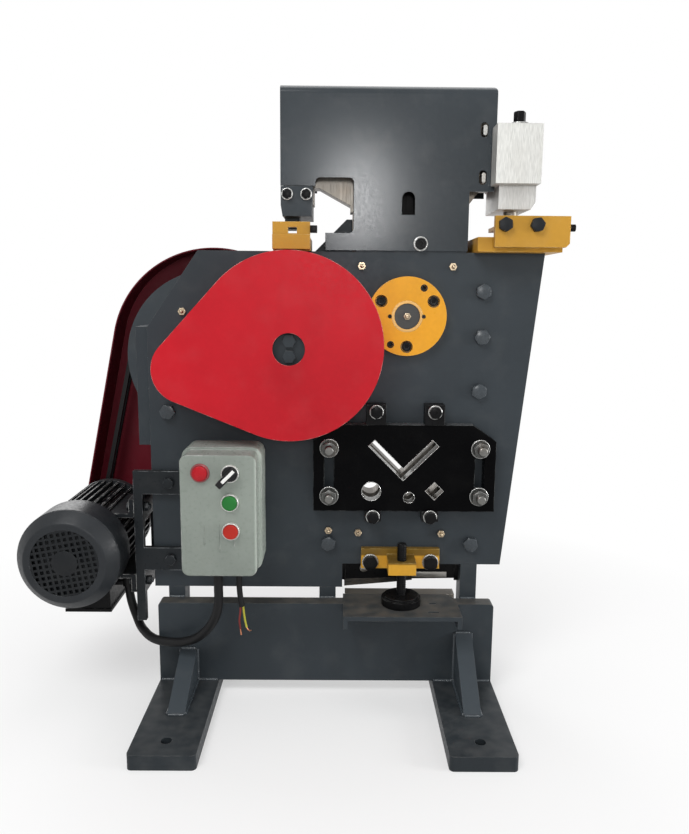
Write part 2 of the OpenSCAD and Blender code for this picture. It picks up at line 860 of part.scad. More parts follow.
module eccentric_shaft() {
    color(steel) {
        rod(ecc_c, ecc_pin_r, -face_y - flange_t + 2, -gap_y + 1);
        rod(ecc_c + [0, throw], ecc_r, -gap_y + 1, gap_y - 1);
        rod(ecc_c, ecc_shaft_r, gap_y - 1, rear_gear_y + ecc_gear_w);
        rod(ecc_c, ecc_shaft_r + 7, face_y + end_play, rear_gear_y);
        rod(ecc_c, ecc_shaft_r + 7, rear_gear_y + ecc_gear_w, rear_gear_y + ecc_gear_w + 8);
        rod(ecc_c, 4, -face_y - flange_t - 3, -face_y - flange_t + 2);
    }
}

module eccentric_gear() {
    color(steel) slab(rear_gear_y, rear_gear_y + ecc_gear_w) translate(ecc_c) difference() {
        gear_outline(rear_module, ecc_teeth, rear_mesh_angle + 180 + 180 / ecc_teeth);
        circle(ecc_shaft_r);
    }
}

module intermediate_shaft() {
    color(steel) {
        rod(mid_c, mid_shaft_r, -gear_front, rear_gear_y);
        rod(mid_c, mid_shaft_r + 7, -gear_back, -face_y - end_play);
        rod(mid_c, mid_shaft_r + 7, face_y + end_play, rear_gear_y);
        slab(rear_gear_y, rear_gear_y + ecc_gear_w + pinion_over) translate(mid_c)
            gear_outline(rear_module, mid_teeth, rear_mesh_angle);
    }
}

module bull_gear() {
    color(steel) slab(-gear_front, -gear_back) translate(mid_c) difference() {
        gear_outline(front_module, bull_teeth, front_mesh_angle + 180 + 180 / bull_teeth);
        circle(mid_shaft_r);
        for (a = [0:60:300]) translate(polar(front_module * bull_teeth * 0.3, a)) circle(24);
    }
}

module shaft_end_plate() {
    color(slate) {
        rod(mid_c, mid_shaft_r + 6, -gear_front - 5, -gear_front);
        for (z = [-13, 13])
            slab(-gear_front - 11, -gear_front - 5) translate(mid_c + [0, z]) hexagon(13.5);
    }
}

module pinion_shaft() {
    back = -gear_back + pinion_over;
    color(steel) {
        rod(pinion_c, pinion_shaft_r, back, flywheel_y + flywheel_w);
        rod(pinion_c, pinion_shaft_r + 7, back, -face_y - end_play);
        rod(pinion_c, pinion_shaft_r + 7, tube_end + end_play, flywheel_y);
        slab(-gear_front - pinion_over, back) translate(pinion_c)
            gear_outline(front_module, pinion_teeth, front_mesh_angle);
    }
}

// Flywheel and belt drive
module groove_profile(r) {
    for (side = [-1, 1]) translate([r, side * belt_pitch / 2])
        polygon([[1, -groove_w / 2 - 0.6], [1, groove_w / 2 + 0.6], [-groove_d, belt_w / 2 + 0.4],
            [-groove_d, -belt_w / 2 - 0.4]]);
}

module turned_on(c, y) {
    translate([c[0], y, c[1]]) rotate([90, 0, 0]) rotate_extrude($fn = 96) children();
}

module flywheel() {
    rim = 34;
    web = 18;
    hub_r = pinion_shaft_r + 24;
    color(motor_grey) difference() {
        turned_on(pinion_c, belt_y) difference() {
            union() {
                translate([flywheel_r - rim, -flywheel_w / 2]) square([rim, flywheel_w]);
                translate([pinion_shaft_r, -web / 2]) square([flywheel_r - rim - pinion_shaft_r + 1, web]);
                translate([pinion_shaft_r, -flywheel_w / 2]) square([hub_r - pinion_shaft_r, flywheel_w]);
            }
            groove_profile(flywheel_r);
        }
        for (a = [0:72:288])
            rod(pinion_c + polar((hub_r + flywheel_r - rim) / 2, a), 26, belt_y - web, belt_y + web);
    }
}

module motor_pulley() {
    color(motor_grey) turned_on(motor_c, belt_y) difference() {
        translate([motor_shaft_r, -flywheel_w / 2]) square([pulley_r - motor_shaft_r, flywheel_w]);
        groove_profile(pulley_r);
    }
}

// One belt: a loop that lies in its two grooves
module belt_loop(depth) {
    lobes(pinion_c, flywheel_r - depth, motor_c, pulley_r - depth);
}

module v_belts() {
    seat = groove_d - 0.8;
    color(black) for (side = [-1, 1]) {
        y = belt_y + side * belt_pitch / 2;
        slab(y - belt_w / 2, y + belt_w / 2) difference() {
            belt_loop(seat - belt_t);
            belt_loop(seat);
        }
    }
}

// Guards
bull_guard_r = front_module * (bull_teeth / 2 + 1) + guard_room;
lobe_guard_r = front_module * (pinion_teeth / 2 + 1) + lobe_room;
guard_c = mid_c + [0, 3.5];
belt_guard_c = pinion_c + [8, 8];
rear_guard_r = rear_module * (ecc_teeth / 2 + 1) + rear_guard_room;
rear_lobe_r = rear_module * (mid_teeth / 2 + 1) + rear_guard_room;

module gear_guard() {
    color(guard_red) {
        slab(-guard_front, sheet_t - guard_front) difference() {
            lobes(guard_c, bull_guard_r, pinion_c, lobe_guard_r);
            translate(mid_c) circle(sight_r);
        }
        difference() {
            slab(sheet_t - guard_front, -face_y) lobe_ring(guard_c, bull_guard_r, pinion_c, lobe_guard_r);
            rod(ecc_c, flange_r + 1.5, -face_y - flange_t - 1.5, 1 - face_y);
        }
    }
}

module rear_gear_guard() {
    color(guard_red) {
        slab(face_y + rear_guard_d - sheet_t, face_y + rear_guard_d)
            lobes(ecc_c, rear_guard_r, mid_c, rear_lobe_r);
        slab(face_y, face_y + rear_guard_d - sheet_t) lobe_ring(ecc_c, rear_guard_r, mid_c, rear_lobe_r);
    }
}

module belt_guard() {
    r1 = flywheel_r + belt_guard_room;
    r2 = pulley_r + pulley_room;
    color("#7c1520") {
        slab(guard_back, guard_back + sheet_t) lobes(belt_guard_c, r1, motor_c, r2);
        slab(tube_end, guard_back) lobe_ring(belt_guard_c, r1, motor_c, r2);
        difference() {
            slab(tube_end, tube_end + sheet_t) intersection() {
                lobes(belt_guard_c, r1 - sheet_t, motor_c, r2 - sheet_t);
                translate([-frame_left - side_bar_w, side_bar_z[0]])
                    square([frame_left + r1, side_bar_z[1] - side_bar_z[0]]);
            }
            rod(pinion_c, tube_r + 12, tube_end - 1, tube_end + sheet_t + 1);
        }
    }
}

// Ram
module ram_outline() {
    x0 = ram_x - ram_w / 2;
    x1 = ram_x + ram_w / 2;
    z = frame_top + head_z;
    left = ram_x - head_left;
    right = ram_x + head_right;
    polygon([
        [left, ram_top], [right, ram_top], [right, z], [x1 + 30, z], [x1, z - head_slope],
        [x1, ram_bottom], [x0, ram_bottom], [x0, z - head_slope], [x0 - 4, z - head_slope],
        [x0 - 4, z - head_slope + 11], [x0 - 58, z],
        [left + notch_w - 1, z], [left + notch_w - 1, z - tongue_h], [left, z - tongue_h]
    ]);
}

module ram() {
    stroke = 2 * throw;
    room = 2;
    half = ecc_r + throw + room;
    color(steel) slab(-ram_t / 2, ram_t / 2) difference() {
        ram_outline();
        translate([ram_x - half, ecc_z - half]) square([2 * half, 2 * half + stroke]);
        bar_holes();
    }
}

module ram_hood() {
    x0 = ram_x - hood_left;
    x1 = ram_x + hood_right;
    top = frame_top + hood_h;
    y = face_y + hood_t;
    color(slate) difference() {
        translate([x0, 0, 0]) rotate([90, 0, 90]) linear_extrude(x1 - x0) difference() {
            union() {
                translate([-y, frame_top + 2]) square([2 * y, hood_h - 2 - hood_bend]);
                translate([hood_bend - y, top - 2 * hood_bend]) square([2 * (y - hood_bend), 2 * hood_bend]);
                for (s = [-1, 1]) translate([s * (y - hood_bend), top - hood_bend]) circle(hood_bend);
            }
            union() {
                r = hood_bend - hood_t;
                translate([-face_y, frame_top - 2]) square([2 * face_y, hood_h + 2 - hood_bend]);
                translate([hood_bend - y, top - hood_bend - r]) square([2 * (y - hood_bend), 2 * r]);
                for (s = [-1, 1]) translate([s * (y - hood_bend), top - hood_bend]) circle(r);
            }
        }
        slab(-y - 1, y + 1) {
            rounded([x0 + 59, frame_top + 31], [x0 + 124, frame_top + 122], 8);
            translate([x0 - 1, frame_top]) square([60.5, head_z]);
            translate([x0 + 40, frame_top]) square([36, 31.5]);
            translate([x0 + 50, frame_top + 31]) square([20, 77]);
            translate([x1 - 42, frame_top]) square([43, 101]);
            translate([x1 - hood_corner, top - hood_corner]) difference() {
                square(hood_corner + 1);
                circle(hood_corner);
            }
        }
        block([x0 - 1, x1 + 1], [gap_y, y + 1], [frame_top, ecc_z + rear_guard_r + 4]);
        slab(-y - 1, -face_y + 1) {
            for (z = [124, 201])
                rounded([x1 - 27, frame_top + z - 12], [x1 - 14, frame_top + z + 12], 6.4);
            translate([ram_x - 12, frame_top + 62]) square([22, 27]);
            translate([ram_x - 1, frame_top + 89]) circle(11);
            translate(hood_bolt_at) circle(small_bolt_d / 2);
        }
    }
}

module ram_bolts() {
    color(black) {
        for (x = [11, notch_w - 11])
            hex_bolt([notch_x + x, notch_z + 36], -notch_front, notch_bolt_d, notch_front - ram_t / 2, 10);
        translate([block_x + 30, 17 - block_front, block_z + block_h]) {
            cylinder(r = 15, h = 3);
            translate([0, 0, 3]) cylinder(r = 10, h = 18, $fn = 6);
        }
    }
}

// Notch station
module notch_holder() {
    z0 = notch_z + notch_h - tongue_h + 2;
    color(slate) difference() {
        union() {
            slab(-notch_front, -ram_t / 2) translate([notch_x, notch_z])
                polygon([[3, 0], [notch_w - 2, 0], [notch_w, notch_h], [0, notch_h], [0, 18]]);
            block([notch_x + 3, notch_x + notch_w - 2], [-ram_t / 2, ram_t / 2], [notch_z, z0 - 0.3]);
            block([notch_x + 3, notch_x + notch_w - 2], [ram_t / 2, 45], [notch_z, notch_z + notch_h]);
            block([notch_punch_x, notch_punch_x + notch_punch_w], notch_punch_y, [frame_top + 38, notch_z]);
        }
        for (x = [11, notch_w - 11])
            rod([notch_x + x, notch_z + 36], notch_bolt_d / 2, -notch_front - 1, 1 - ram_t / 2);
    }
}

module notch_die() {
    x = [notch_die_x, notch_die_x + notch_die_w];
    color(ochre) difference() {
        union() {
            block(x, [-notch_wall_y - notch_wall_t, -notch_wall_y], [frame_top + 2, frame_top + 26]);
            block(x, [6 - notch_wall_y - notch_wall_t, -notch_wall_y],
                [frame_top + 26, frame_top + notch_wall_h]);
            block(x, [-notch_wall_y, 30], [frame_top, frame_top + notch_base_t]);
        }
        block([notch_die_x + 26, notch_die_x + 41], [-notch_wall_y - notch_wall_t - 1, 1 - notch_wall_y],
            [frame_top + 28, frame_top + 38]);
        block([notch_punch_x - notch_play, notch_punch_x + notch_punch_w + notch_play],
            [notch_punch_y[0] - notch_play, notch_punch_y[1] + notch_play],
            [frame_top - 1, frame_top + notch_base_t + 1]);
    }
}

// Punch station
module punch_block() {
    z = [block_z, block_z + block_h];
    color(bright) {
        block([block_x, block_x + block_w], [-block_front, block_back], z);
        block([block_x - block_wing, block_x], [-block_front, -face_y - hood_t - 3], z);
    }
}

module punch_holder() {
    w = block_w - 4;
    color(bright) slab(holder_set - block_front, block_back - 5) translate([block_x + 2, holder_z])
        polygon([[0, 0], [w - 8, 0], [w, 12], [w, holder_h], [0, holder_h]]);
}

module punch() {
    color(steel) translate([punch_x, -punch_y, finger_z + 3]) {
        cylinder(r = punch_r, h = holder_z - finger_z - 3);
        translate([0, 0, holder_z - finger_z - 11]) cylinder(r = punch_r + 1.2, h = 8);
    }
}

die_r = punch_r + 9;
die_play = 0.5;

module punch_die() {
    color(steel) translate([punch_x, -punch_y, frame_top + 6]) difference() {
        cylinder(r = die_r, h = die_top - frame_top - 6);
        translate([0, 0, -1]) cylinder(r = punch_r + die_play, h = die_base_t);
    }
}

// Die base with the two ears that carry the stripper
module die_base() {
    ear = 11;
    color(ochre) difference() {
        union() {
            block([ram_x + 113, stripper_x + 119], [-84, 40], [frame_top, frame_top + die_base_t]);
            for (p = stripper_bolts_at)
                block([p[0] - ear, p[0] + ear], [-stripper_y, ear_d - stripper_y],
                    [stripper_z, stripper_z + stripper_h]);
        }
        for (p = stripper_bolts_at) rod(p, small_bolt_d / 2 + 1, -stripper_y - 1, ear_d - stripper_y);
        translate([punch_x, -punch_y, frame_top - 1]) cylinder(r = punch_r + 4, h = die_base_t);
        translate([punch_x, -punch_y, frame_top + 6]) cylinder(r = die_r, h = die_base_t);
    }
}

module stripper() {
    neck = 12;
    color(ochre) difference() {
        union() {
            slab(-stripper_y - stripper_t, -stripper_y) translate([stripper_x, stripper_z])
                polygon([[0, 0], [stripper_l - 6, 0], [stripper_l, 6], [stripper_l, stripper_h],
                    [0, stripper_h]]);
            x = (stripper_bolts_at[0][0] + stripper_bolts_at[1][0]) / 2;
            block([x - neck, x + neck], [-stripper_y, 42 - stripper_y], [finger_z, finger_z + finger_t]);
            block([punch_x - 30, punch_x + 30], [42 - stripper_y, 12], [finger_z, finger_z + finger_t]);
        }
        for (p = stripper_bolts_at)
            rod(p, small_bolt_d / 2 + 1, -stripper_y - stripper_t - 1, 1 - stripper_y);
        translate([punch_x, -punch_y, finger_z - 1]) cylinder(r = punch_r + 2, h = finger_t + 2);
    }
}

// Flat-bar shear
module upper_blade() {
    x0 = ram_x - ram_w / 2 - 10;
    x1 = ram_x + ram_w / 2 + 9;
    color(black) slab(-ram_t / 2, ram_t / 2)
        polygon([[x0, ram_bottom], [x1, ram_bottom], [x1, ram_bottom - 29], [ram_x - 12, ram_bottom - 31],
            [x0, ram_bottom - 34]]);
}

module lower_blade() {
    color(steel) block([ram_x - ram_w / 2 - 8, ram_x + ram_w / 2 + 4], [-face_y, -ram_t / 2 - blade_play],
        [table_top - lower_blade_h, table_top]);
}

module shear_table() {
    x = [ram_x - 4 - table_w / 2, ram_x - 4 + table_w / 2];
    front = -face_y - beam_t - table_reach;
    flange = 15;
    color(slate) {
        difference() {
            slab_table(x, front);
            block([ram_x + 48, ram_x + 60], [-face_y - 46, -face_y - 41], [beam_top - 1, table_top + 1]);
            block([ram_x + 42, ram_x + 61], [-face_y - 83, -face_y - 78], [beam_top - 1, table_top + 1]);
        }
        for (x0 = [x[0], x[1] - 8])
            block([x0, x0 + 8], [front, -face_y - beam_t], [beam_top - flange, beam_top]);
    }
}

// Table top with its right rear corner cut
module slab_table(x, front) {
    translate([0, 0, beam_top]) linear_extrude(table_t)
        polygon([[x[0], front], [x[1], front], [x[1], -face_y - 24], [x[1] - 14, -face_y], [x[0], -face_y]]);
}

module hold_down_bracket() {
    nut_w = 49;
    color(ochre) difference() {
        union() {
            block([hold_x - 71, hold_x + 71], [-face_y - bracket_plate_t, -face_y],
                [hold_bracket_z, hold_bracket_z + 37]);
            block([hold_x - nut_w / 2, hold_x + nut_w / 2], [-screw_y - 16, -face_y - bracket_plate_t],
                [nut_z, nut_z + nut_h]);
        }
        translate([hold_x, -screw_y, nut_z - 1]) cylinder(d = screw_d + 2 * stem_play, h = nut_h + 2);
        for (p = hold_bolts_at) rod(p, small_bolt_d / 2, -face_y - bracket_plate_t - 1, 1 - face_y);
    }
}

module hold_down_screw() {
    bottom = table_top + foot_rest + foot_h;
    color(black) translate([hold_x, -screw_y, 0]) {
        translate([0, 0, bottom]) cylinder(d = screw_d, h = nut_z + nut_h + screw_over - bottom);
        translate([0, 0, bottom - 6]) cylinder(d = screw_d - 6, h = 6);
    }
}

module hold_down_foot() {
    color(black) translate([hold_x, -screw_y, table_top + foot_rest]) difference() {
        union() {
            cylinder(d = foot_d, h = foot_h - 4);
            cylinder(d = foot_d - 8, h = foot_h);
        }
        translate([0, 0, foot_h - 6]) cylinder(d = screw_d - 6 + 2 * stem_play, h = 7);
    }
}

// Motor
module motor_bracket() {
    x = [plate_x, plate_x + bracket_t];
    color(slate) {
        difference() {
            union() {
                block(x, [-face_y - arm_t, -face_y], [bracket_z, bracket_z + bracket_h]);
                block(x, [-face_y, bracket_back],
                    [motor_z - foot_span / 2 - 19, motor_z + foot_span / 2 + 21]);
            }
            block([x[0] - 1, x[1] + 1], [-face_y, bracket_back - 24],
                [motor_z - bracket_window_h / 2, motor_z + bracket_window_h / 2]);
            for (y = motor_hole_y, side = [-1, 1])
                translate([plate_x - 1, y, motor_z + side * foot_span / 2]) rotate([0, 90, 0])
                    cylinder(d = 11, h = bracket_t + 2);
        }
        for (z = arm_z) slab(-face_y - arm_t, -face_y) difference() {
            translate([plate_x + bracket_t, z]) square([arm_end - plate_x - bracket_t, arm_h]);
            translate([arm_bolt_x, z + arm_h / 2]) circle(small_bolt_d / 2 + bolt_play);
        }
    }
}

module motor_housing() {
    color(motor_grey) difference() {
        union() {
            slab(housing_y, housing_end) translate(motor_c) {
                circle(housing_r, $fn = 96);
                for (i = [0:fin_count - 1]) rotate((i + 0.5) * 360 / fin_count)
                    translate([housing_r - 2, -fin_t / 2]) square([fin_r - housing_r + 2, fin_t]);
            }
            block([-motor_x - 30, -motor_x + 30], terminal_y, [terminal_z[1], motor_z - housing_r + 10]);
            for (side = [-1, 1]) {
                z = motor_z + side * foot_span / 2;
                clear = motor_bolt_d * 1.5 / sqrt(3) + 0.8;
                y = [housing_y + 8, housing_y + 145];
                block([plate_x - motor_foot_t, plate_x], y, [z - 17, z + 17]);
                block([-motor_x + 30, plate_x - motor_foot_t], y,
                    side > 0 ? [z - 17, z - clear] : [z + clear, z + 17]);
            }
        }
        rod(motor_c, rotor_r + 2, housing_y + 14, housing_end + 1);
        rod(motor_c, motor_shaft_r + stem_play, housing_y - 1, housing_end + 1);
        for (y = motor_hole_y, side = [-1, 1])
            translate([plate_x - motor_foot_t - 20, y, motor_z + side * foot_span / 2]) rotate([0, 90, 0])
                cylinder(d = 11, h = motor_foot_t + 21);
    }
}

module motor_end_shield() {
    color(motor_grey) turned_on(motor_c, housing_end) polygon([
        [motor_shaft_r + stem_play, 0], [fin_r, 0], [fin_r, -14], [fin_r - 12, -20], [48, -shield_l + 6],
        [34, -shield_l], [motor_shaft_r + stem_play, -shield_l]
    ]);
}

module fan_cover() {
    wall = 2;
    holes = 5;
    color(motor_grey) difference() {
        turned_on(motor_c, -fan_front) polygon([
            [0, 0], [fan_face_r, 0], [cowl_r, -20], [cowl_r, -fan_l], [fin_r - wall - 2, -fan_l],
            [fin_r - wall - 2, wall - fan_l], [cowl_r - wall, wall - fan_l], [cowl_r - wall, -20],
            [fan_face_r - wall, -wall], [0, -wall]
        ]);
        slab(-fan_front - 1, wall - fan_front + 1) translate(motor_c)
            for (ring = [1:holes], i = [0:6 * ring - 1]) rotate(i * 60 / ring)
                translate([ring * fan_face_r / (holes + 0.8), 0]) square(7, center = true);
    }
}

module terminal_box() {
    lid = 6;
    color(motor_grey) {
        block(terminal_x, terminal_y, [terminal_z[0] + lid, terminal_z[1]]);
        block([terminal_x[0] - 2, terminal_x[1] + 2], [terminal_y[0] - 2, terminal_y[1] + 2],
            [terminal_z[0], terminal_z[0] + lid]);
    }
}

module motor_rotor() {
    back = fan_l - fan_front - 22;
    color(steel) {
        rod(motor_c, motor_shaft_r, 14 - fan_front, shaft_end);
        rod(motor_c, rotor_r, housing_y + 22, housing_end - 12);
    }
    color(black) {
        rod(motor_c, fin_r - 22, back - 4, back);
        rod(motor_c, motor_shaft_r + 8, back - 30, back - 4);
        slab(back - 30, back - 4) translate(motor_c) for (a = [0:45:315]) rotate(a)
            translate([motor_shaft_r + 7, -1.5]) square([fin_r - 30 - motor_shaft_r, 3]);
    }
}

// Control box
box_a = [-box_left, box_z];
box_b = [box_w - box_left, box_z + box_h];

// The cover's outline, or one that stands out from it
module box_outline(out) {
    rounded(box_a - [out, out], box_b + [out, out], box_r + out);
}

module control_box() {
    color(box_grey) {
        slab(-face_y - box_wall, -face_y) box_outline(box_lip);
        slab(cover_y, -face_y - box_wall) difference() {
            box_outline(box_lip);
            box_outline(box_lip - box_wall);
        }
    }
}

module control_cover() {
    color(box_grey) {
        slab(-box_front, box_wall - box_front) difference() {
            box_outline(0);
            for (p = [lamp_at, selector_at, start_at, stop_at]) translate(p) circle(stem_r + 4);
        }
        slab(box_wall - box_front, cover_y) difference() {
            box_outline(0);
            box_outline(-box_wall);
        }
        slab(cover_y - 6, cover_y) difference() {
            box_outline(box_lip);
            box_outline(0);
        }
    }
}

module pilot_lamp() {
    color(guard_red) {
        rod(lamp_at, bezel_r + 1, -box_front - 3, -box_front);
        rod(lamp_at, bezel_r - 2, -box_front - 10, -box_front - 3);
        rod(lamp_at, stem_r + 4, -box_front, 30 - box_front);
    }
}

module button_bezels() {
    color("silver") for (p = [selector_at, start_at, stop_at]) {
        rod(p, bezel_r, -box_front - bezel_t, -box_front, button_r + 0.4);
        rod(p, stem_r + 4, -box_front, 30 - box_front, stem_r + stem_play);
        rod(p, bezel_r, -box_front - 1.2, -box_front, stem_r + stem_play);
    }
}

// Button: a cap that stands out of its bezel, on a stem that slides in it
module button(p) {
    rod(p, button_r, -box_front - bezel_t - 4, -box_front - button_travel - 1.5);
    rod(p, stem_r, -box_front - button_travel - 1.5, 34 - box_front);
}

module start_button() {
    color("#1f9d57") button(start_at);
}

module stop_button() {
    color("#d8402c") button(stop_at);
}

module selector_line() {
    translate([1.5 - button_r, -1.8]) square([button_r + 15.5, 3.6]);
}

module selector_knob() {
    y = -box_front - bezel_t;
    color(black) {
        rod(selector_at, button_r, y - 3, y + 4);
        rod(selector_at, stem_r, y + 4, 34 - box_front);
        slab(y - 14, y - 3) translate(selector_at) rotate(-135) difference() {
            rounded([-button_r - 0.5, -5.5], [button_r + 14.5, 5.5], 5);
            selector_line();
        }
        slab(y - 13, y - 3) translate(selector_at) rotate(-135) selector_line();
    }
}

// Cables and their entries
module gland(r) {
    linear_extrude(gland_h) hexagon(1.15 * r);
}

module cable_glands() {
    color(black) {
        translate([conduit_route[0][0], gland_y, box_z - gland_h]) gland(conduit_d / 2 + 4);
        translate([cord_route[0][0], gland_y, box_z - gland_h]) gland(cord_d / 2 + 4);
        gland_elbow();
    }
}

// Elbow on the terminal box: turns the conduit from below into the box's side
module gland_elbow() {
    end = conduit_route[len(conduit_route) - 1];
    r = conduit_d / 2 + 3;
    translate(end + [0, 0, 1.7]) cylinder(r = r, h = 18);
    translate([terminal_x[1], end[1], end[2] + 7.2]) rotate([0, 90, 0])
        cylinder(r = r / 2, h = end[0] - terminal_x[1]);
}

// Round tube swept along points
function unit(v) = v / norm(v);
function tangent(p, i) = unit(p[min(i + 1, len(p) - 1)] - p[max(i - 1, 0)]);
function ring(p, i, r, n) =
    let (t = tangent(p, i), u = unit(cross(t, [0, 1, 0])), v = cross(t, u))
    [for (k = [0:n - 1]) p[i] + r * (u * cos(360 * k / n) + v * sin(360 * k / n))];

module tube(p, d, n) {
    last = len(p) - 1;
    polyhedron(
        [for (i = [0:last]) for (q = ring(p, i, d / 2, n)) q],
        concat(
            [[for (k = [0:n - 1]) k]],
            [for (i = [0:last - 1]) for (k = [0:n - 1])
                [i * n + k, (i + 1) * n + k, (i + 1) * n + (k + 1) % n, i * n + (k + 1) % n]],
            [[for (k = [n - 1:-1:0]) last * n + k]]
        )
    );
}

module motor_conduit() {
    color(black) tube(conduit_route, conduit_d, 12);
}

module power_cord() {
    color(black) tube(cord_route, cord_d, 10);
}

module power_wires() {
    color("#8c2a20") tube(red_wire_route, wire_d, 8);
    color("#b8b02a") tube(earth_wire_route, wire_d, 8);
}

base_feet();
base_beam();
front_plate();
rear_plate();
frame_spacers();
frame_bolts();
grease_nipples();
section_die_plate();
die_studs();
die_clamps();
station_bolts();
eccentric_flange();
flange_screws();
shaft_bushes();
eccentric_shaft();
eccentric_gear();
intermediate_shaft();
bull_gear();
shaft_end_plate();
pinion_shaft();
flywheel();
v_belts();
motor_pulley();
gear_guard();
rear_gear_guard();
belt_guard();
ram();
ram_hood();
ram_bolts();
notch_holder();
notch_die();
punch_block();
punch_holder();
punch();
punch_die();
die_base();
stripper();
upper_blade();
lower_blade();
shear_table();
hold_down_bracket();
hold_down_screw();
hold_down_foot();
motor_bracket();
motor_housing();
motor_end_shield();
fan_cover();
terminal_box();
motor_rotor();
control_box();
control_cover();
pilot_lamp();
button_bezels();
selector_knob();
start_button();
stop_button();
cable_glands();
motor_conduit();
power_cord();
power_wires();
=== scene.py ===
"""Looks of the ironworker, in the CAD frame: camera, finishes, cables, fine detail and light."""

import math
import random

import bmesh
import bpy
from mathutils import Matrix, Vector


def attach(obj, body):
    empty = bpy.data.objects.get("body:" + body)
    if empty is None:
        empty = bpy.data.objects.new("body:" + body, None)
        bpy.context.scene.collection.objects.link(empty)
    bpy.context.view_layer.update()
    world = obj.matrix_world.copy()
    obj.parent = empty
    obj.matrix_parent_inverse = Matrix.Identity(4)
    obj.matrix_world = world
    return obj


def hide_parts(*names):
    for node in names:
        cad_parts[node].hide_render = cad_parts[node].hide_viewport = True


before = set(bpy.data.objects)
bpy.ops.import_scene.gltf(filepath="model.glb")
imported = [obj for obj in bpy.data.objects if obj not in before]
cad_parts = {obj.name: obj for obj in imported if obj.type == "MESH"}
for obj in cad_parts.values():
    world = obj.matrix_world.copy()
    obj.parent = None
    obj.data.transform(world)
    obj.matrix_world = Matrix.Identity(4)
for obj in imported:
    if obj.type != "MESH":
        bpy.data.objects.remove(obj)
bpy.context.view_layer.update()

# Forms are drawn in millimetres, and the scene is in metres
MM = 0.001
TAU = 2 * math.pi
WHITE = (1, 1, 1, 1)


# Camera, fitted to the photograph
IMAGE_H = 834
FOCAL_PX = 755.64
SENSOR = 36
PITCH = 0.1626
YAW = 0.0075
ROLL = -0.0088
CAMERA_AT = Vector((0.02064, -1.372, 0.7299))


def make_camera():
    ahead = math.cos(PITCH)
    forward = Vector((math.sin(YAW) * ahead, math.cos(YAW) * ahead, -math.sin(PITCH)))
    level = Vector((math.cos(YAW), -math.sin(YAW), 0))
    plumb = forward.cross(level)
    right = math.cos(ROLL) * level + math.sin(ROLL) * plumb
    down = math.cos(ROLL) * plumb - math.sin(ROLL) * level
    data = bpy.data.cameras.new("camera")
    data.sensor_width = SENSOR
    data.lens = FOCAL_PX / IMAGE_H * SENSOR
    camera = bpy.data.objects.new("camera", data)
    turn = Matrix((right, -down, -forward)).transposed().to_4x4()
    camera.matrix_world = Matrix.Translation(CAMERA_AT) @ turn
    bpy.context.collection.objects.link(camera)
    bpy.context.scene.camera = camera


make_camera()


# Node helpers
SEEN_BY = ("Is Camera Ray", "Is Glossy Ray", "Is Transmission Ray")
MIX_FACTOR, MIX_A, MIX_B, MIX_RESULT = 0, 6, 7, 2


class Graph:
    """A node tree, and short ways to add to it."""

    def __init__(self, tree):
        self.tree = tree

    def feed(self, socket, value):
        """Links an input to another node's output, or sets its value."""
        if isinstance(value, bpy.types.NodeSocket):
            self.tree.links.new(value, socket)
        else:
            socket.default_value = value

    def add(self, kind, inputs=None, **settings):
        node = self.tree.nodes.new("ShaderNode" + kind)
        for key, value in settings.items():
            setattr(node, key, value)
        for key, value in (inputs or {}).items():
            self.feed(node.inputs[key], value)
        return node

    def remap(self, fac, low, high, start=0.3, end=0.7):
        inputs = {"Value": fac, "From Min": start, "From Max": end, "To Min": low, "To Max": high}
        return self.add("MapRange", inputs).outputs[0]

    def math(self, operation, a, b=0.0):
        return self.add("Math", {0: a, 1: b}, operation=operation, use_clamp=True).outputs[0]

    def seen(self):
        """1 for rays that see the surroundings, and 0 for rays that only carry their light."""
        rays = self.add("LightPath").outputs
        total = rays[SEEN_BY[0]]
        for kind in SEEN_BY[1:]:
            total = self.math("ADD", total, rays[kind])
        return total


class Look(Graph):
    """A Principled material, and the textures that feed it."""

    def __init__(self, name, **sockets):
        self.material = bpy.data.materials.new(name)
        self.material.use_nodes = True
        super().__init__(self.material.node_tree)
        self.shader = self.tree.nodes["Principled BSDF"]
        self.place = self.add("TexCoord").outputs["Object"]
        self.set(**sockets)

    def set(self, **sockets):
        for key, value in sockets.items():
            label = key.replace("_", " ").title().replace("Ior", "IOR")
            self.feed(self.shader.inputs[label], value)

    def noise(self, scale, detail=4.0, stretch=None):
        where = self.place
        if stretch:
            where = self.add("Mapping", {"Vector": where, "Scale": stretch}).outputs[0]
        inputs = {"Vector": where, "Scale": scale, "Detail": detail}
        return self.add("TexNoise", inputs).outputs["Fac"]

    def mix(self, fac, a, b):
        node = self.add("Mix", {MIX_FACTOR: fac}, data_type="RGBA")
        for index, colour in ((MIX_A, a), (MIX_B, b)):
            self.feed(node.inputs[index], (*colour, 1) if isinstance(colour, tuple) else colour)
        return node.outputs[MIX_RESULT]

    def bump(self, height, distance, strength=1.0, normal=None):
        inputs = {"Height": height, "Distance": distance, "Strength": strength}
        if normal is not None:
            inputs["Normal"] = normal
        return self.add("Bump", inputs).outputs[0]

    def band(self, axis, low, high, soft=0.004):
        """1 between two places on an axis, fading to 0 outside them."""
        value = self.add("SeparateXYZ", {0: self.place}).outputs[axis]
        rise = self.remap(value, 0.0, 1.0, low - soft, low)
        return self.math("MULTIPLY", rise, self.remap(value, 1.0, 0.0, high, high + soft))

    def edges(self, radius):
        """Normals that round every edge off, and a mask of those edges."""
        rounded = self.add("Bevel", {"Radius": radius}, samples=6).outputs[0]
        plain = self.add("NewGeometry").outputs["Normal"]
        dot = self.add("VectorMath", {0: rounded, 1: plain}, operation="DOT_PRODUCT")
        return rounded, self.remap(dot.outputs["Value"], 1.0, 0.0, 0.86, 0.995)


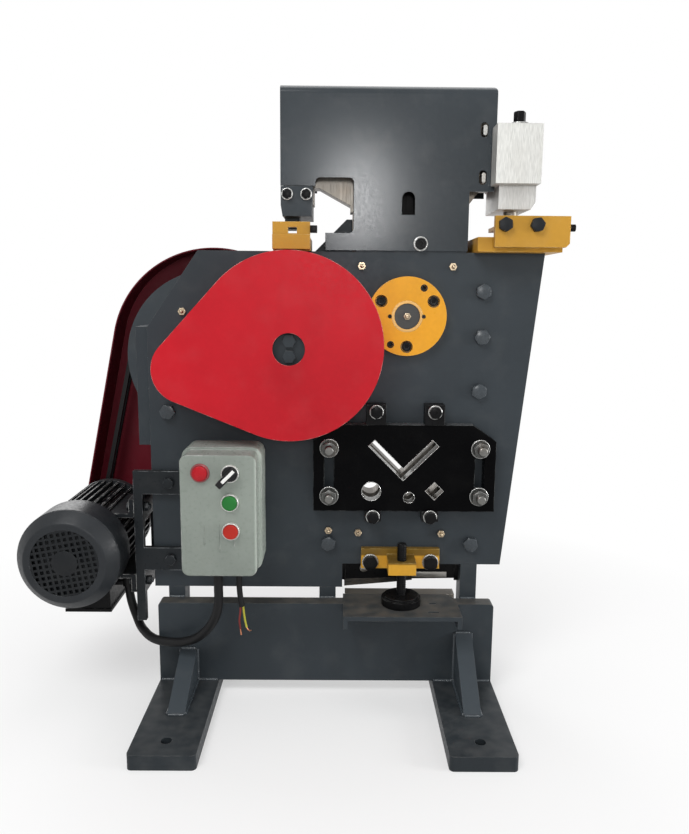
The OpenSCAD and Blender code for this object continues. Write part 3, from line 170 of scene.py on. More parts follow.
# Finishes, in linear colour. Their lengths are in metres.
SLATE = (0.0310, 0.0380, 0.0440)
GUARD_RED = (0.44, 0.008, 0.016)
BELT_RED = (0.13, 0.008, 0.016)
FLANGE_YELLOW = (0.69, 0.315, 0.022)
HOLD_YELLOW = (0.62, 0.32, 0.03)
OCHRE = (0.46, 0.24, 0.032)
BOX_GREY = (0.235, 0.265, 0.235)
MOTOR_GREY = (0.018, 0.0205, 0.0235)
DUST = (0.34, 0.33, 0.31)
BOX_DUST = (0.40, 0.42, 0.40)
PAINTED_SHADE = (0.006, 0.006, 0.006)
TURNED_GRAIN = (9.0, 9.0, 220.0)
GROUND_GRAIN = (160.0, 160.0, 8.0)
PAST_THE_PART = 9.0


def shade(colour, factor):
    return tuple(c * factor for c in colour)


def paint(name, colour, roughness=0.42, scuffed_and_lit_edge=(0.26, 0.25, 0.24), scuff_and_highlight_amount=0.3, peel=0.00005,
          dust=0.03, gloss=0.16, settle=0.03, edge=0.0014, settled=(0.24, 0.21, 0.17), even=0.4,
          speckle=0.1, zone=None, ripple=0.3, vary=1.0):
    """Sprayed paint: mottling, orange peel, grime, dust on upper faces, and pale edges that are
    partly rubbed wear and partly painted highlights.

    A zone (colour, axis, low, high) has another colour between two places on an axis.
    """
    look = Look(name, metallic=0.0, specular_ior_level=gloss)
    broad = look.noise(5.0, 5.0)
    fine = look.noise(160.0, 6.0)
    tone = look.mix(look.remap(broad, 0.0, 1.0), shade(colour, 0.86), shade(colour, 1.12))
    tone = look.mix(look.remap(fine, 0.0, speckle, 0.45, 0.75), tone, shade(colour, 1.5))
    if zone:
        tone = look.mix(look.band(*zone[1:], soft=0.003), tone, zone[0])
    grime = look.remap(look.noise(9.0, 9.0, (1.0, 1.0, 0.35)), 0.0, 0.45, 0.55, 0.75)
    tone = look.mix(grime, tone, shade(colour, 0.62))
    clouds = look.remap(look.noise(22.0, 8.0), 0.0, 1.0, 0.52, 0.72)
    tone = look.mix(look.math("MULTIPLY", clouds, dust), tone, DUST)
    normal = look.add("NewGeometry").outputs["Normal"]
    lift = look.add("SeparateXYZ", {0: normal}).outputs["Z"]
    patches = look.remap(look.noise(40.0, 7.0), even, 1.0)
    laid = look.math("MULTIPLY", look.remap(lift, 0.0, settle, 0.9, 0.98), patches)
    tone = look.mix(laid, tone, settled)
    # Pale edges: partly rubbed wear, partly painted highlights on rounded edges
    soft, rim = look.edges(edge)
    scuff_and_highlight_patches = look.remap(look.noise(55.0, 6.0), 0.0, scuff_and_highlight_amount, 0.42, 0.62)
    tone = look.mix(look.math("MULTIPLY", rim, scuff_and_highlight_patches), tone, scuffed_and_lit_edge)
    skin = look.bump(look.noise(620.0, 2.0), peel, normal=soft)
    skin = look.bump(look.noise(30.0, 2.0), 0.0004, ripple, skin)
    sheen = look.remap(fine, roughness - 0.07 * vary, roughness + 0.12 * vary)
    look.set(base_color=tone, roughness=sheen, normal=skin)
    return look.material


def metal(name, colour, roughness=0.34, grain=TURNED_GRAIN, stain=(0.20, 0.15, 0.10),
          stained=0.25, bare=1.0, painted_shade=None, rim=None, edge=0.0009):
    """Machined steel: tool lines along the grain and stains, and where asked a patch of painted
    shade and rims of painted highlight.
    """
    look = Look(name, metallic=bare)
    lines = look.noise(9.0, 6.0, grain)
    broad = look.noise(11.0, 5.0)
    tone = look.mix(look.remap(lines, 0.0, 1.0), shade(colour, 0.72), shade(colour, 1.18))
    marks = look.math("MULTIPLY", look.remap(broad, 0.0, 1.0, 0.5, 0.72), stained)
    tone = look.mix(marks, tone, stain)
    # A patch of painted shade between places on x and z
    if painted_shade:
        shade_patch = look.math("MULTIPLY", look.band("X", *painted_shade[0]), look.band("Z", *painted_shade[1]))
        tone = look.mix(shade_patch, tone, PAINTED_SHADE)
    soft, scuffed_and_lit_edge = look.edges(edge)
    if rim:
        tone = look.mix(scuffed_and_lit_edge, tone, rim)
    skin = look.bump(look.noise(380.0, 3.0), 0.00003, 0.5, soft)
    skin = look.bump(lines, 0.00006, 0.6, skin)
    sheen = look.remap(lines, roughness - 0.08, roughness + 0.14)
    look.set(base_color=tone, roughness=sheen, normal=skin)
    return look.material


def moulded(name, colour, roughness=0.4, coat=0.0, gloss=0.3):
    """Plastic or rubber: a fine-grained skin with slight mottling."""
    look = Look(name, metallic=0.0, coat_weight=coat, coat_roughness=0.15,
                specular_ior_level=gloss)
    broad = look.noise(34.0, 5.0)
    tone = look.mix(look.remap(broad, 0.0, 1.0), shade(colour, 0.85), shade(colour, 1.15))
    sheen = look.remap(broad, roughness - 0.06, roughness + 0.1)
    skin = look.bump(look.noise(900.0, 3.0), 0.00003)
    look.set(base_color=tone, roughness=sheen, normal=skin)
    return look.material


slate = paint("slate_paint", SLATE)
# A darker copy of the slate: painted shade on the low feet
shaded_foot_slate = paint("shaded_foot_paint", shade(SLATE, 0.76), dust=0.05, settle=0.2,
                   settled=(0.17, 0.172, 0.168), even=0.0)
dusty_slate = paint("dusty_slate_paint", SLATE, settle=0.6, settled=(0.14, 0.123, 0.1), even=0.15)
beam_slate = paint("beam_paint", SLATE, settle=0.6, settled=(0.15, 0.132, 0.108), even=0.15,
                   zone=(shade(SLATE, 1.45), "Y", -0.3, -0.08))
# Lighter than the slate, with pale bluish edges: painted highlights on the bolt heads
bolt_paint = paint("bolt_paint", shade(SLATE, 1.1), roughness=0.24, scuffed_and_lit_edge=(0.16, 0.18, 0.20),
                   scuff_and_highlight_amount=1.0, gloss=0.35, edge=0.0016)
hood_paint = paint("hood_paint", SLATE, roughness=0.18, scuff_and_highlight_amount=0.1, gloss=0.26, edge=0.0008,
                   speckle=0.04, ripple=0.1, vary=0.3)
# A darker copy of the slate: painted shade on the motor bracket and its bolts, with pale edges as
# painted highlights
shaded_slate = paint("dark_slate_paint", shade(SLATE, 0.4), roughness=0.32, scuffed_and_lit_edge=(0.46, 0.48, 0.5),
                   scuff_and_highlight_amount=1.0)
weld_paint = paint("weld_paint", shade(SLATE, 1.5), roughness=0.2, peel=0.0003, gloss=0.5)
wheel_paint = paint("wheel_paint", shade(SLATE, 1.3), roughness=0.36, gloss=0.25)
# Its pale edges are painted highlights along the guard's rounded rims
red = paint("guard_red_paint", GUARD_RED, roughness=0.38, scuffed_and_lit_edge=(0.75, 0.55, 0.5), scuff_and_highlight_amount=0.7,
            dust=0.02, settle=0.05, ripple=0.12)
dark_red = paint("belt_guard_paint", BELT_RED, roughness=0.45, scuff_and_highlight_amount=0.2, settle=0.05)
yellow = paint("flange_yellow_paint", FLANGE_YELLOW, roughness=0.33, scuffed_and_lit_edge=(0.8, 0.66, 0.35),
               scuff_and_highlight_amount=0.5, dust=0.02)
# Darker olive above z = 261.5 mm
hold_paint = paint("hold_down_paint", HOLD_YELLOW, roughness=0.36, scuffed_and_lit_edge=(0.8, 0.62, 0.25),
                   scuff_and_highlight_amount=0.7, zone=((0.15, 0.085, 0.012), "Z", 0.2615, PAST_THE_PART))
ochre = paint("station_ochre_paint", OCHRE, roughness=0.4, scuffed_and_lit_edge=(0.75, 0.6, 0.3), scuff_and_highlight_amount=0.8,
              dust=0.04)
# Lighter from x = -117.5 mm on: painted light on the cover's right side; its pale edges are painted
# highlights
box_enamel = paint("box_enamel", BOX_GREY, roughness=0.3, scuffed_and_lit_edge=(0.5, 0.51, 0.49), scuff_and_highlight_amount=0.7,
                   peel=0.00012, dust=0.05, gloss=0.25, settle=0.6, edge=0.004, settled=BOX_DUST,
                   even=0.1, zone=(shade(BOX_GREY, 1.6), "X", -0.1175, PAST_THE_PART))
# A lighter copy of the box enamel, lighter still from x = -115 mm on: painted light on the box's
# top and right side
lit_box_side = paint("box_side_enamel", shade(BOX_GREY, 1.35), roughness=0.3,
                 scuffed_and_lit_edge=(0.55, 0.56, 0.54), scuff_and_highlight_amount=0.8, peel=0.00012, dust=0.08, gloss=0.25,
                 settle=0.5, edge=0.004, settled=BOX_DUST, even=0.1,
                 zone=(shade(BOX_GREY, 1.7), "X", -0.115, PAST_THE_PART))
motor_paint = paint("motor_paint", MOTOR_GREY, roughness=0.36, scuffed_and_lit_edge=(0.2, 0.21, 0.22), scuff_and_highlight_amount=0.5,
                    peel=0.00008, dust=0.02, gloss=0.22, settle=0.05, edge=0.0007)
# Its pale fin edges are painted highlights
fin_paint = paint("fin_paint", shade(MOTOR_GREY, 0.75), roughness=0.34, scuffed_and_lit_edge=(0.72, 0.72, 0.7),
                  scuff_and_highlight_amount=2.5, peel=0.00008, dust=0.01, gloss=0.1, settle=0.02, edge=0.0011)
grille_paint = paint("grille_paint", shade(MOTOR_GREY, 0.55), roughness=0.4, scuff_and_highlight_amount=0.1, dust=0.02,
                     settle=0.02, edge=0.0004)
black_steel = paint("black_oxide", (0.0045, 0.0045, 0.005), roughness=0.3,
                    scuffed_and_lit_edge=(0.13, 0.13, 0.13), scuff_and_highlight_amount=0.9, peel=0.00002, dust=0.012, gloss=0.09,
                    settle=0.01)
die_black = paint("oily_black", (0.0018, 0.0018, 0.0021), roughness=0.22,
                  scuffed_and_lit_edge=(0.16, 0.17, 0.17), scuff_and_highlight_amount=0.7, peel=0.00001, dust=0.004, gloss=0.03,
                  settle=0.9, edge=0.0016, settled=(0.10, 0.105, 0.11), even=0.8, speckle=0.02)

ground = metal("ground_steel", (0.56, 0.56, 0.535), roughness=0.4, grain=GROUND_GRAIN,
               stain=(0.4, 0.38, 0.34), stained=0.2, bare=0.45)
holder_steel = metal("holder_steel", (0.52, 0.52, 0.505), roughness=0.4, grain=GROUND_GRAIN,
                     stain=(0.3, 0.28, 0.25), stained=0.3, bare=0.45)
raw = metal("raw_steel", (0.30, 0.275, 0.24), roughness=0.42, grain=(220.0, 220.0, 6.0),
            stain=(0.22, 0.16, 0.10), stained=0.55)
# Near black from x 95 to 200 mm and z 820 to 940 mm: painted shade on the ram behind the hood's
# arch
ram_steel = metal("ram_steel", (0.19, 0.175, 0.155), roughness=0.42, grain=(70.0, 70.0, 3.0),
                  stain=(0.16, 0.11, 0.07), stained=0.5, painted_shade=((0.095, 0.2), (0.82, 0.94)))
plated = metal("plated_steel", (0.76, 0.755, 0.73), roughness=0.28, stained=0.12, bare=0.6)
dark_plated = metal("dark_plated_steel", (0.04, 0.04, 0.038), roughness=0.3, stained=0.3, bare=0.6)
# Bright rims on the nuts, washers, rings and hole liners are painted highlights
nut_steel = metal("nut_steel", (0.07, 0.07, 0.067), roughness=0.3, stained=0.3, bare=0.7,
                  rim=(0.6, 0.6, 0.58), edge=0.0013)
washer_steel = metal("washer_steel", (0.07, 0.07, 0.067), roughness=0.3, stained=0.2,
                     rim=(0.86, 0.86, 0.84), edge=0.0022)
ring_steel = metal("ring_steel", (0.22, 0.22, 0.213), roughness=0.3, stained=0.2,
                   rim=(0.86, 0.86, 0.84), edge=0.0022)
liner_steel = metal("liner_steel", (0.14, 0.14, 0.133), roughness=0.2, stained=0.5,
                    rim=(0.9, 0.9, 0.88), edge=0.0012)
grey_steel = metal("grey_steel", (0.36, 0.355, 0.34), roughness=0.32, stained=0.5)
stud_steel = metal("stud_steel", (0.17, 0.168, 0.16), roughness=0.32, stained=0.5)
shaft_steel = metal("shaft_steel", (0.042, 0.042, 0.04), roughness=0.42, stained=0.3, bare=0.5)
bronze = metal("bronze", (0.48, 0.28, 0.10), roughness=0.35)
brass = metal("brass", (0.46, 0.37, 0.26), roughness=0.3, stain=(0.06, 0.035, 0.02), stained=0.8)
copper = metal("copper", (0.72, 0.30, 0.16), roughness=0.3, stained=0.3)

rubber = moulded("rubber", (0.007, 0.007, 0.0075), roughness=0.5, gloss=0.2)
black_plastic = moulded("black_plastic", (0.008, 0.008, 0.009), roughness=0.38, gloss=0.25)
red_lens = moulded("red_lens", (0.39, 0.005, 0.012), roughness=0.25, coat=0.08, gloss=0.2)
lamp_rim = moulded("lamp_rim", (0.28, 0.06, 0.065), roughness=0.25, coat=0.3)
stop_plastic = moulded("stop_plastic", (0.38, 0.018, 0.01), roughness=0.3, coat=0.04, gloss=0.2)
start_plastic = moulded("start_plastic", (0.012, 0.145, 0.024), roughness=0.3, coat=0.1, gloss=0.2)
red_wire = moulded("red_insulation", (0.16, 0.02, 0.018), roughness=0.4)
earth_wire = moulded("earth_insulation", (0.38, 0.36, 0.04), roughness=0.4)
white_mark = moulded("white_mark", (0.75, 0.75, 0.73), roughness=0.45)

FINISHES = {
    shaded_foot_slate: "base_feet",
    slate: "front_plate rear_plate shaft_end_plate notch_holder",
    dusty_slate: "shear_table",
    beam_slate: "base_beam",
    bolt_paint: "frame_bolts",
    hood_paint: "ram_hood",
    shaded_slate: "motor_bracket",
    red: "gear_guard rear_gear_guard",
    dark_red: "belt_guard",
    yellow: "eccentric_flange",
    ochre: "notch_die die_base stripper",
    hold_paint: "hold_down_bracket",
    black_steel: "die_clamps station_bolts flange_screws ram_bolts hold_down_screw "
                 "hold_down_foot upper_blade motor_rotor terminal_box",
    die_black: "section_die_plate",
    ground: "punch_block",
    holder_steel: "punch_holder",
    plated: "die_studs button_bezels",
    brass: "grease_nipples",
    ram_steel: "ram",
    shaft_steel: "eccentric_shaft",
    raw: "lower_blade punch punch_die frame_spacers eccentric_gear intermediate_shaft bull_gear "
         "pinion_shaft",
    bronze: "shaft_bushes",
    motor_paint: "motor_end_shield fan_cover motor_pulley",
    fin_paint: "motor_housing",
    wheel_paint: "flywheel",
    rubber: "v_belts cable_glands motor_conduit power_cord",
    red_wire: "power_wires",
    box_enamel: "control_cover",
    lit_box_side: "control_box",
    red_lens: "pilot_lamp",
    stop_plastic: "stop_button",
    start_plastic: "start_button",
    black_plastic: "selector_knob",
}


def finish_nodes():
    for material, names in FINISHES.items():
        for name in names.split():
            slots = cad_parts[name].data.materials
            slots.clear()
            slots.append(material)


finish_nodes()


# Forms for fine detail. A facing turns (across, up, outwards) into the frame.
FRONT = Matrix(((1, 0, 0), (0, 0, -1), (0, 1, 0)))
BACK = Matrix(((-1, 0, 0), (0, 0, 1), (0, 1, 0)))
UP = Matrix(((1, 0, 0), (0, 1, 0), (0, 0, 1)))
RIGHT = Matrix(((0, 0, 1), (1, 0, 0), (0, 1, 0)))
LEFT = Matrix(((0, 0, -1), (-1, 0, 0), (0, 1, 0)))
SHARP_FROM = math.radians(35)
HEX_STEPS = 60
HEX_CROWN = 0.95
HEX_CHAMFER_FROM = 0.97
HEX_CHAMFER_SLOPE = 0.6
chance = random.Random(11)


def any_turn():
    """A bolt head's turn, left to chance."""
    return chance.random() * TAU / 6


def spun(profile, steps):
    """Rows of points round an axis, from (radius, outwards) pairs."""
    angles = [TAU * i / steps for i in range(steps)]
    return [[(r * math.cos(a), r * math.sin(a), w) for a in angles] for r, w in profile]


def hex_reach(half, a):
    """How far a hexagon reaches at an angle, from half its width across flats."""
    return half / math.cos(a % (TAU / 6) - TAU / 12)


class Form:
    """A mesh under construction."""

    def __init__(self):
        self.mesh = bmesh.new()

    def ring(self, points):
        return [self.mesh.verts.new(Vector(p) * MM) for p in points]

    def skin(self, rings, ends=True, smooth=True):
        for a, b in zip(rings, rings[1:]):
            for i in range(len(a)):
                j = (i + 1) % len(a)
                self.mesh.faces.new((a[i], a[j], b[j], b[i])).smooth = smooth
        if ends:
            self.mesh.faces.new(list(reversed(rings[0])))
            self.mesh.faces.new(rings[-1])

    def rows(self, at, facing, rows, **how):
        """Skins rows of (across, up, outwards) points, set at a place."""
        at = Vector(at)
        self.skin([self.ring(at + facing @ Vector(p) for p in row) for row in rows], **how)

    def turned(self, at, facing, profile, steps=40):
        """A turned form from (radius, outwards) pairs."""
        self.rows(at, facing, spun(profile, steps))

    def collar(self, at, facing, profile, steps=40):
        """A turned ring, open in the middle, from pairs that close on themselves."""
        self.rows(at, facing, spun(profile + profile[:1], steps), ends=False)

    def washer(self, at, facing, r, t):
        self.turned(at, facing, ((r - 0.3, 0), (r, 0.4), (r, t - 0.6), (r - 0.6, t)))

    def hex_head(self, at, facing, across, height, turn=0.0, foot=False):
        """A hex head with the corners of its top turned off, and of its foot too for a nut."""
        half = across / 2
        crown = half * HEX_CROWN
        low, high, top = [], [], []
        for i in range(HEX_STEPS):
            a = TAU * i / HEX_STEPS
            reach = hex_reach(half, a + turn)
            c, s = math.cos(a), math.sin(a)
            drop = max(reach - half * HEX_CHAMFER_FROM, 0) * HEX_CHAMFER_SLOPE
            low.append((reach * c, reach * s, drop if foot else 0))
            high.append((reach * c, reach * s, height - drop))
            top.append((crown * c, crown * s, height))
        self.rows(at, facing, (low, high, top), smooth=False)

    def socket_head(self, at, facing, r, height, across):
        """A cap screw's head with a hex socket sunk in it."""
        chamfer = 0.8
        floor = height * 0.4
        rows = spun(((r, 0), (r, height - chamfer), (r - chamfer, height)), HEX_STEPS)
        angles = [TAU * i / HEX_STEPS for i in range(HEX_STEPS)]
        reach = [hex_reach(across / 2, a) for a in angles]
        for w in (height, floor):
            rows.append([(u * math.cos(a), u * math.sin(a), w) for a, u in zip(angles, reach)])
        self.rows(at, facing, rows, smooth=False)

    def thread(self, at, facing, d, pitch, start, end, depth):
        """A threaded bar, its crests at the nominal diameter, with a chamfered end."""
        steps = 24
        rows_per_turn = 6
        count = max(8, int((end - start) / pitch * rows_per_turn))
        rows = []
        for k in range(count + 1):
            w = start + (end - start) * k / count
            taper = min(1.0, (end - w) / (pitch * 0.8) * 0.14 + 0.86)
            row = []
            for i in range(steps):
                a = TAU * i / steps
                phase = (w / pitch - i / steps) % 1
                r = (d / 2 - depth * abs(2 * phase - 1)) * taper
                row.append((r * math.cos(a), r * math.sin(a), w))
            rows.append(row)
        self.rows(at, facing, rows)

    def tube(self, points, radii, steps=10):
        """A round bar along points, with a radius at each."""
        points = [Vector(p) for p in points]
        last = len(points) - 1
        angles = [TAU * k / steps for k in range(steps)]
        rings = []
        for i, point in enumerate(points):
            along = (points[min(i + 1, last)] - points[max(i - 1, 0)]).normalized()
            if i == 0:
                side = along.orthogonal().normalized()
            else:
                side = (side - along * side.dot(along)).normalized()
            other = along.cross(side)
            spokes = [side * math.cos(a) + other * math.sin(a) for a in angles]
            rings.append(self.ring(point + radii[i] * spoke for spoke in spokes))
        self.skin(rings)

    def bead(self, a, b, r):
        """A weld bead from a to b: overlapping ripples of uneven width."""
        a, b = Vector(a), Vector(b)
        count = max(6, int((b - a).length / (r * 0.4)))
        points, radii = [], []
        for k in range(count + 1):
            points.append(a.lerp(b, k / count))
            radii.append(r * (0.84 + 0.16 * abs(math.sin(k * 1.05)) + 0.08 * chance.random()))
        radii[0] = radii[-1] = r * 0.4
        self.tube(points, radii, 12)

    def box(self, low, high, chamfer):
        """A block with chamfered edges."""
        cube = bmesh.ops.create_cube(self.mesh, size=1.0)["verts"]
        low, high = Vector(low), Vector(high)
        middle, size = (low + high) / 2, high - low
        for v in cube:
            v.co = Vector((middle[i] + v.co[i] * size[i] for i in range(3))) * MM
        edges = list({e for v in cube for e in v.link_edges})
        bmesh.ops.bevel(self.mesh, geom=edges, offset=chamfer * MM, segments=2, profile=0.6,
                        affect="EDGES")

    def piece(self, name, material, body, *nodes, slot=None):
        """Turns the form into a piece that rides on a body and may replace CAD nodes."""
        bmesh.ops.recalc_face_normals(self.mesh, faces=self.mesh.faces)
        data = bpy.data.meshes.new(name)
        self.mesh.to_mesh(data)
        self.mesh.free()
        data.materials.append(material)
        data.set_sharp_from_angle(angle=SHARP_FROM)
        made = bpy.data.objects.new(name, data)
        bpy.context.collection.objects.link(made)
        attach(made, body)
        if nodes:
            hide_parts(*nodes)
        return made


# Cables: each follows its route through listed points
CONDUIT = ((-186, -125, 250.5), (-186, -125, 238), (-186, -125, 221), (-186, -125, 204),
           (-188, -124.5, 186), (-193, -123, 169), (-202, -120, 152), (-214, -116, 137),
           (-229, -111, 124), (-247, -105, 115), (-265, -99, 110), (-283, -94, 108),
           (-301, -88, 108), (-318, -77.5, 109.5), (-333, -62, 113), (-345, -47, 118.5),
           (-355, -35, 132), (-363, -27, 147), (-368.5, -22, 164), (-371, -20, 184))
SUPPLY = ((-150, -125, 250.5), (-150, -125, 235), (-149.5, -125, 220), (-148, -125, 205),
          (-146, -125, 190))
RED_WIRE = ((-148, -125, 189.2), (-149, -125, 177), (-150.5, -125, 163), (-149, -125, 148))
EARTH_WIRE = ((-143.6, -125, 189.6), (-142.4, -125, 177), (-140.5, -125, 163), (-138, -125, 151))
CONDUIT_D = 16 * MM
SUPPLY_D = 10 * MM
WIRE_D = 3.6 * MM
STRANDS = 6
STRAND_R = 0.45


def copper_tip(name, start, end, hook):
    """Bare twisted strands that stick out of a wire's end."""
    form = Form()
    start, end, hook = Vector(start), Vector(end), Vector(hook)
    knots = 9
    twist = 4
    for k in range(STRANDS):
        points = []
        for i in range(knots):
            t = i / (knots - 1)
            middle = start.lerp(end, t).lerp(end.lerp(hook, t), t)
            a = TAU * k / STRANDS + t * twist
            points.append(middle + Vector((math.cos(a), math.sin(a), 0)) * (0.75 + 0.25 * t))
        form.tube(points, [STRAND_R] * knots, 6)
    return form.piece(name, copper, "frame", slot="bronze")


def cable(name, route, diameter, material, node):
    points = [Vector(p) * MM for p in route]
    curve = bpy.data.curves.new(name, "CURVE")
    curve.dimensions = "3D"
    curve.bevel_depth = diameter / 2
    curve.bevel_resolution = 5
    curve.use_fill_caps = True
    spline = curve.splines.new("BEZIER")
    spline.bezier_points.add(len(points) - 1)
    for knot, point in zip(spline.bezier_points, points):
        knot.co = point
        knot.handle_left_type = "AUTO"
        knot.handle_right_type = "AUTO"
    curve.materials.append(material)
    piece = bpy.data.objects.new(name, curve)
    bpy.context.collection.objects.link(piece)
    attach(piece, "frame")
    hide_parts(node)


cable("conduit", CONDUIT, CONDUIT_D, rubber, "motor_conduit")
cable("supply_cord", SUPPLY, SUPPLY_D, rubber, "power_cord")
red_tip = copper_tip("red_strands", RED_WIRE[-1], (-148.2, -125, 142), (-147.5, -125, 137))
earth_tip = copper_tip("earth_strands", EARTH_WIRE[-1], (-135, -125, 144), (-130.5, -126, 146))
cable("wire_red", RED_WIRE, WIRE_D, red_wire, "power_wires")
cable("wire_earth", EARTH_WIRE, WIRE_D, earth_wire, "power_wires")


# Faces that the CAD model gives too, each by its place on the axis that it faces
FACE = -47
ARM_FACE = -59
CLAMP_FACE = -75
HOLD_FACE = -59
HOOD_FACE = -50
EAR_FACE = -110
NOTCH_FACE = -60
DIE_FACE = -71
FLANGE_FACE = -61
BLADE_FACE = -20
BLOCK_TOP = 1003
MOTOR_FOOT = -355
MOTOR_NUT = -330

# Bolts and screws, by their place on those faces
FRAME_BOLTS = ((269, 734), (269, 656), (267, 561), (262, 280), (3, 280), (-282, 520))
ARM_BOLTS = ((-282, 251), (-282, 393))
MOTOR_BOLTS = ((-43, 205), (-43, 345), (57, 205), (57, 345))
CLAMP_BOLTS = ((86, 526.5), (188, 526.5), (82, 338), (184, 338))
HOLD_BOLTS = ((79.5, 248.5), (188.5, 248.5))
HOOD_SCREW = (158, 814)
EAR_BOLTS = ((289, 842), (341, 842))
SIDE_BOLT = (396, -104, 838)
NOTCH_PIN = ((-30, -78, 829), (-18, -66, 841))
NOTCH_BOLTS = ((-69, 893), (-37, 893))
BLADE_BOLT = (69.5, 222)
STUDS = ((4, 375), (4, 461), (270, 375), (270, 461))
HOLD_SCREW = (134, -90)
PUNCH_SCREW = (312, -78)
ECCENTRIC = (137, 691)
MOTOR = (-441, 275)
SCREW_CIRCLE = 52
HOLE_CIRCLE = 56

# Heads and nuts, as (width across flats, height)
M16_HEAD = (24, 10.4)
M16_NUT = (24, 12.8)
M12_HEAD = (18, 7.8)
M10_HEAD = (15, 6.5)
M10_NUT = (15, 8)
CLAMP_HEAD = (20, 7.8)
HOLD_HEAD = (24, 9.1)
EAR_HEAD = (21, 9.1)
NOTCH_HEAD = (15, 5.5)
SIDE_HEAD = (11.2, 9)
BLADE_HEAD = (12, 4)
NIPPLE_HEAD = (11, 4)
WASHER_T = 3


def frame_bolts():
    form, dark = Form(), Form()
    for x, z in FRAME_BOLTS:
        form.hex_head((x, FACE, z), FRONT, *M16_HEAD, any_turn())
        form.hex_head((x, -FACE, z), BACK, *M16_NUT, any_turn(), foot=True)
        form.thread((x, -FACE, z), BACK, d=16, pitch=2, start=M16_NUT[1], end=15.8, depth=1.1)
    for x, z in ARM_BOLTS:
        dark.hex_head((x, ARM_FACE, z), FRONT, *M12_HEAD, any_turn())
    for y, z in MOTOR_BOLTS:
        nut = (MOTOR_NUT, y, z)
        dark.hex_head((MOTOR_FOOT, y, z), LEFT, *M10_HEAD, any_turn())
        dark.hex_head(nut, RIGHT, *M10_NUT, any_turn(), foot=True)
        dark.thread(nut, RIGHT, d=10, pitch=1.5, start=M10_NUT[1], end=11, depth=0.8)
    form.piece("frame_bolt_heads", bolt_paint, "frame", "frame_bolts", slot="frame_paint")
    dark.piece("bracket_bolt_heads", shaded_slate, "frame", "frame_bolts", slot="frame_paint")


def station_bolts():
    heads, ears, washers = Form(), Form(), Form()
    for x, z in CLAMP_BOLTS:
        washers.washer((x, CLAMP_FACE, z), FRONT, 12.5, WASHER_T)
        heads.hex_head((x, CLAMP_FACE - WASHER_T, z), FRONT, *CLAMP_HEAD, any_turn())
    for x, z in HOLD_BOLTS:
        washers.washer((x, HOLD_FACE, z), FRONT, 15, WASHER_T)
        heads.hex_head((x, HOLD_FACE - WASHER_T, z), FRONT, *HOLD_HEAD, any_turn())
    x, z = HOOD_SCREW
    washers.washer((x, HOOD_FACE, z), FRONT, 12.5, WASHER_T)
    heads.socket_head((x, HOOD_FACE - WASHER_T, z), FRONT, r=9.6, height=6.5, across=8)
    for x, z in EAR_BOLTS:
        ears.hex_head((x, EAR_FACE, z), FRONT, *EAR_HEAD, any_turn())
    heads.hex_head(SIDE_BOLT, RIGHT, *SIDE_HEAD)
    heads.box(*NOTCH_PIN, chamfer=1)
    heads.piece("station_bolt_heads", black_steel, "frame", "station_bolts", slot="black_steel")
    ears.piece("ear_bolt_heads", grille_paint, "frame", "station_bolts", slot="black_steel")
    washers.piece("station_washers", ring_steel, "frame", "station_bolts", slot="bright_steel")


def ram_bolts():
    heads, washers = Form(), Form()
    for x, z in NOTCH_BOLTS:
        washers.washer((x, NOTCH_FACE, z), FRONT, 10, WASHER_T)
        heads.hex_head((x, NOTCH_FACE - WASHER_T, z), FRONT, *NOTCH_HEAD, any_turn())
    washers.washer((*PUNCH_SCREW, BLOCK_TOP), UP, 15, WASHER_T)
    heads.turned((*PUNCH_SCREW, BLOCK_TOP + WASHER_T), UP,
                 ((9.2, 0), (10, 0.8), (10, 16), (8.8, 18)), steps=6)
    heads.piece("ram_bolt_heads", black_steel, "ram", "ram_bolts", slot="black_steel")
    washers.piece("ram_washers", ring_steel, "ram", "ram_bolts", slot="bright_steel")


def die_studs():
    nuts, washers, ends = Form(), Form(), Form()
    for x, z in STUDS:
        seat = (x, DIE_FACE - WASHER_T, z)
        washers.washer((x, DIE_FACE, z), FRONT, 17, WASHER_T)
        nuts.hex_head(seat, FRONT, *M16_NUT, any_turn(), foot=True)
        ends.thread(seat, FRONT, d=16, pitch=2, start=12, end=26.8, depth=0.9)
    nuts.piece("stud_nuts", nut_steel, "frame", "die_studs", slot="bright_steel")
    ends.piece("stud_ends", stud_steel, "frame", "die_studs", slot="bright_steel")
    washers.piece("stud_washers", washer_steel, "frame", "die_studs", slot="bright_steel")


def hold_down_screw():
    form = Form()
    form.thread((*HOLD_SCREW, 0), UP, d=17, pitch=4, start=199.3, end=294, depth=0.7)
    form.turned((*HOLD_SCREW, 193.3), UP, ((5, 0), (5.5, 0.6), (5.5, 6.2)))
    form.piece("hold_down_spindle", black_steel, "hold_screw", "hold_down_screw",
               slot="black_steel")


def on_flange(radius, degrees, y):
    a = math.radians(degrees)
    return ECCENTRIC[0] + radius * math.cos(a), y, ECCENTRIC[1] + radius * math.sin(a)


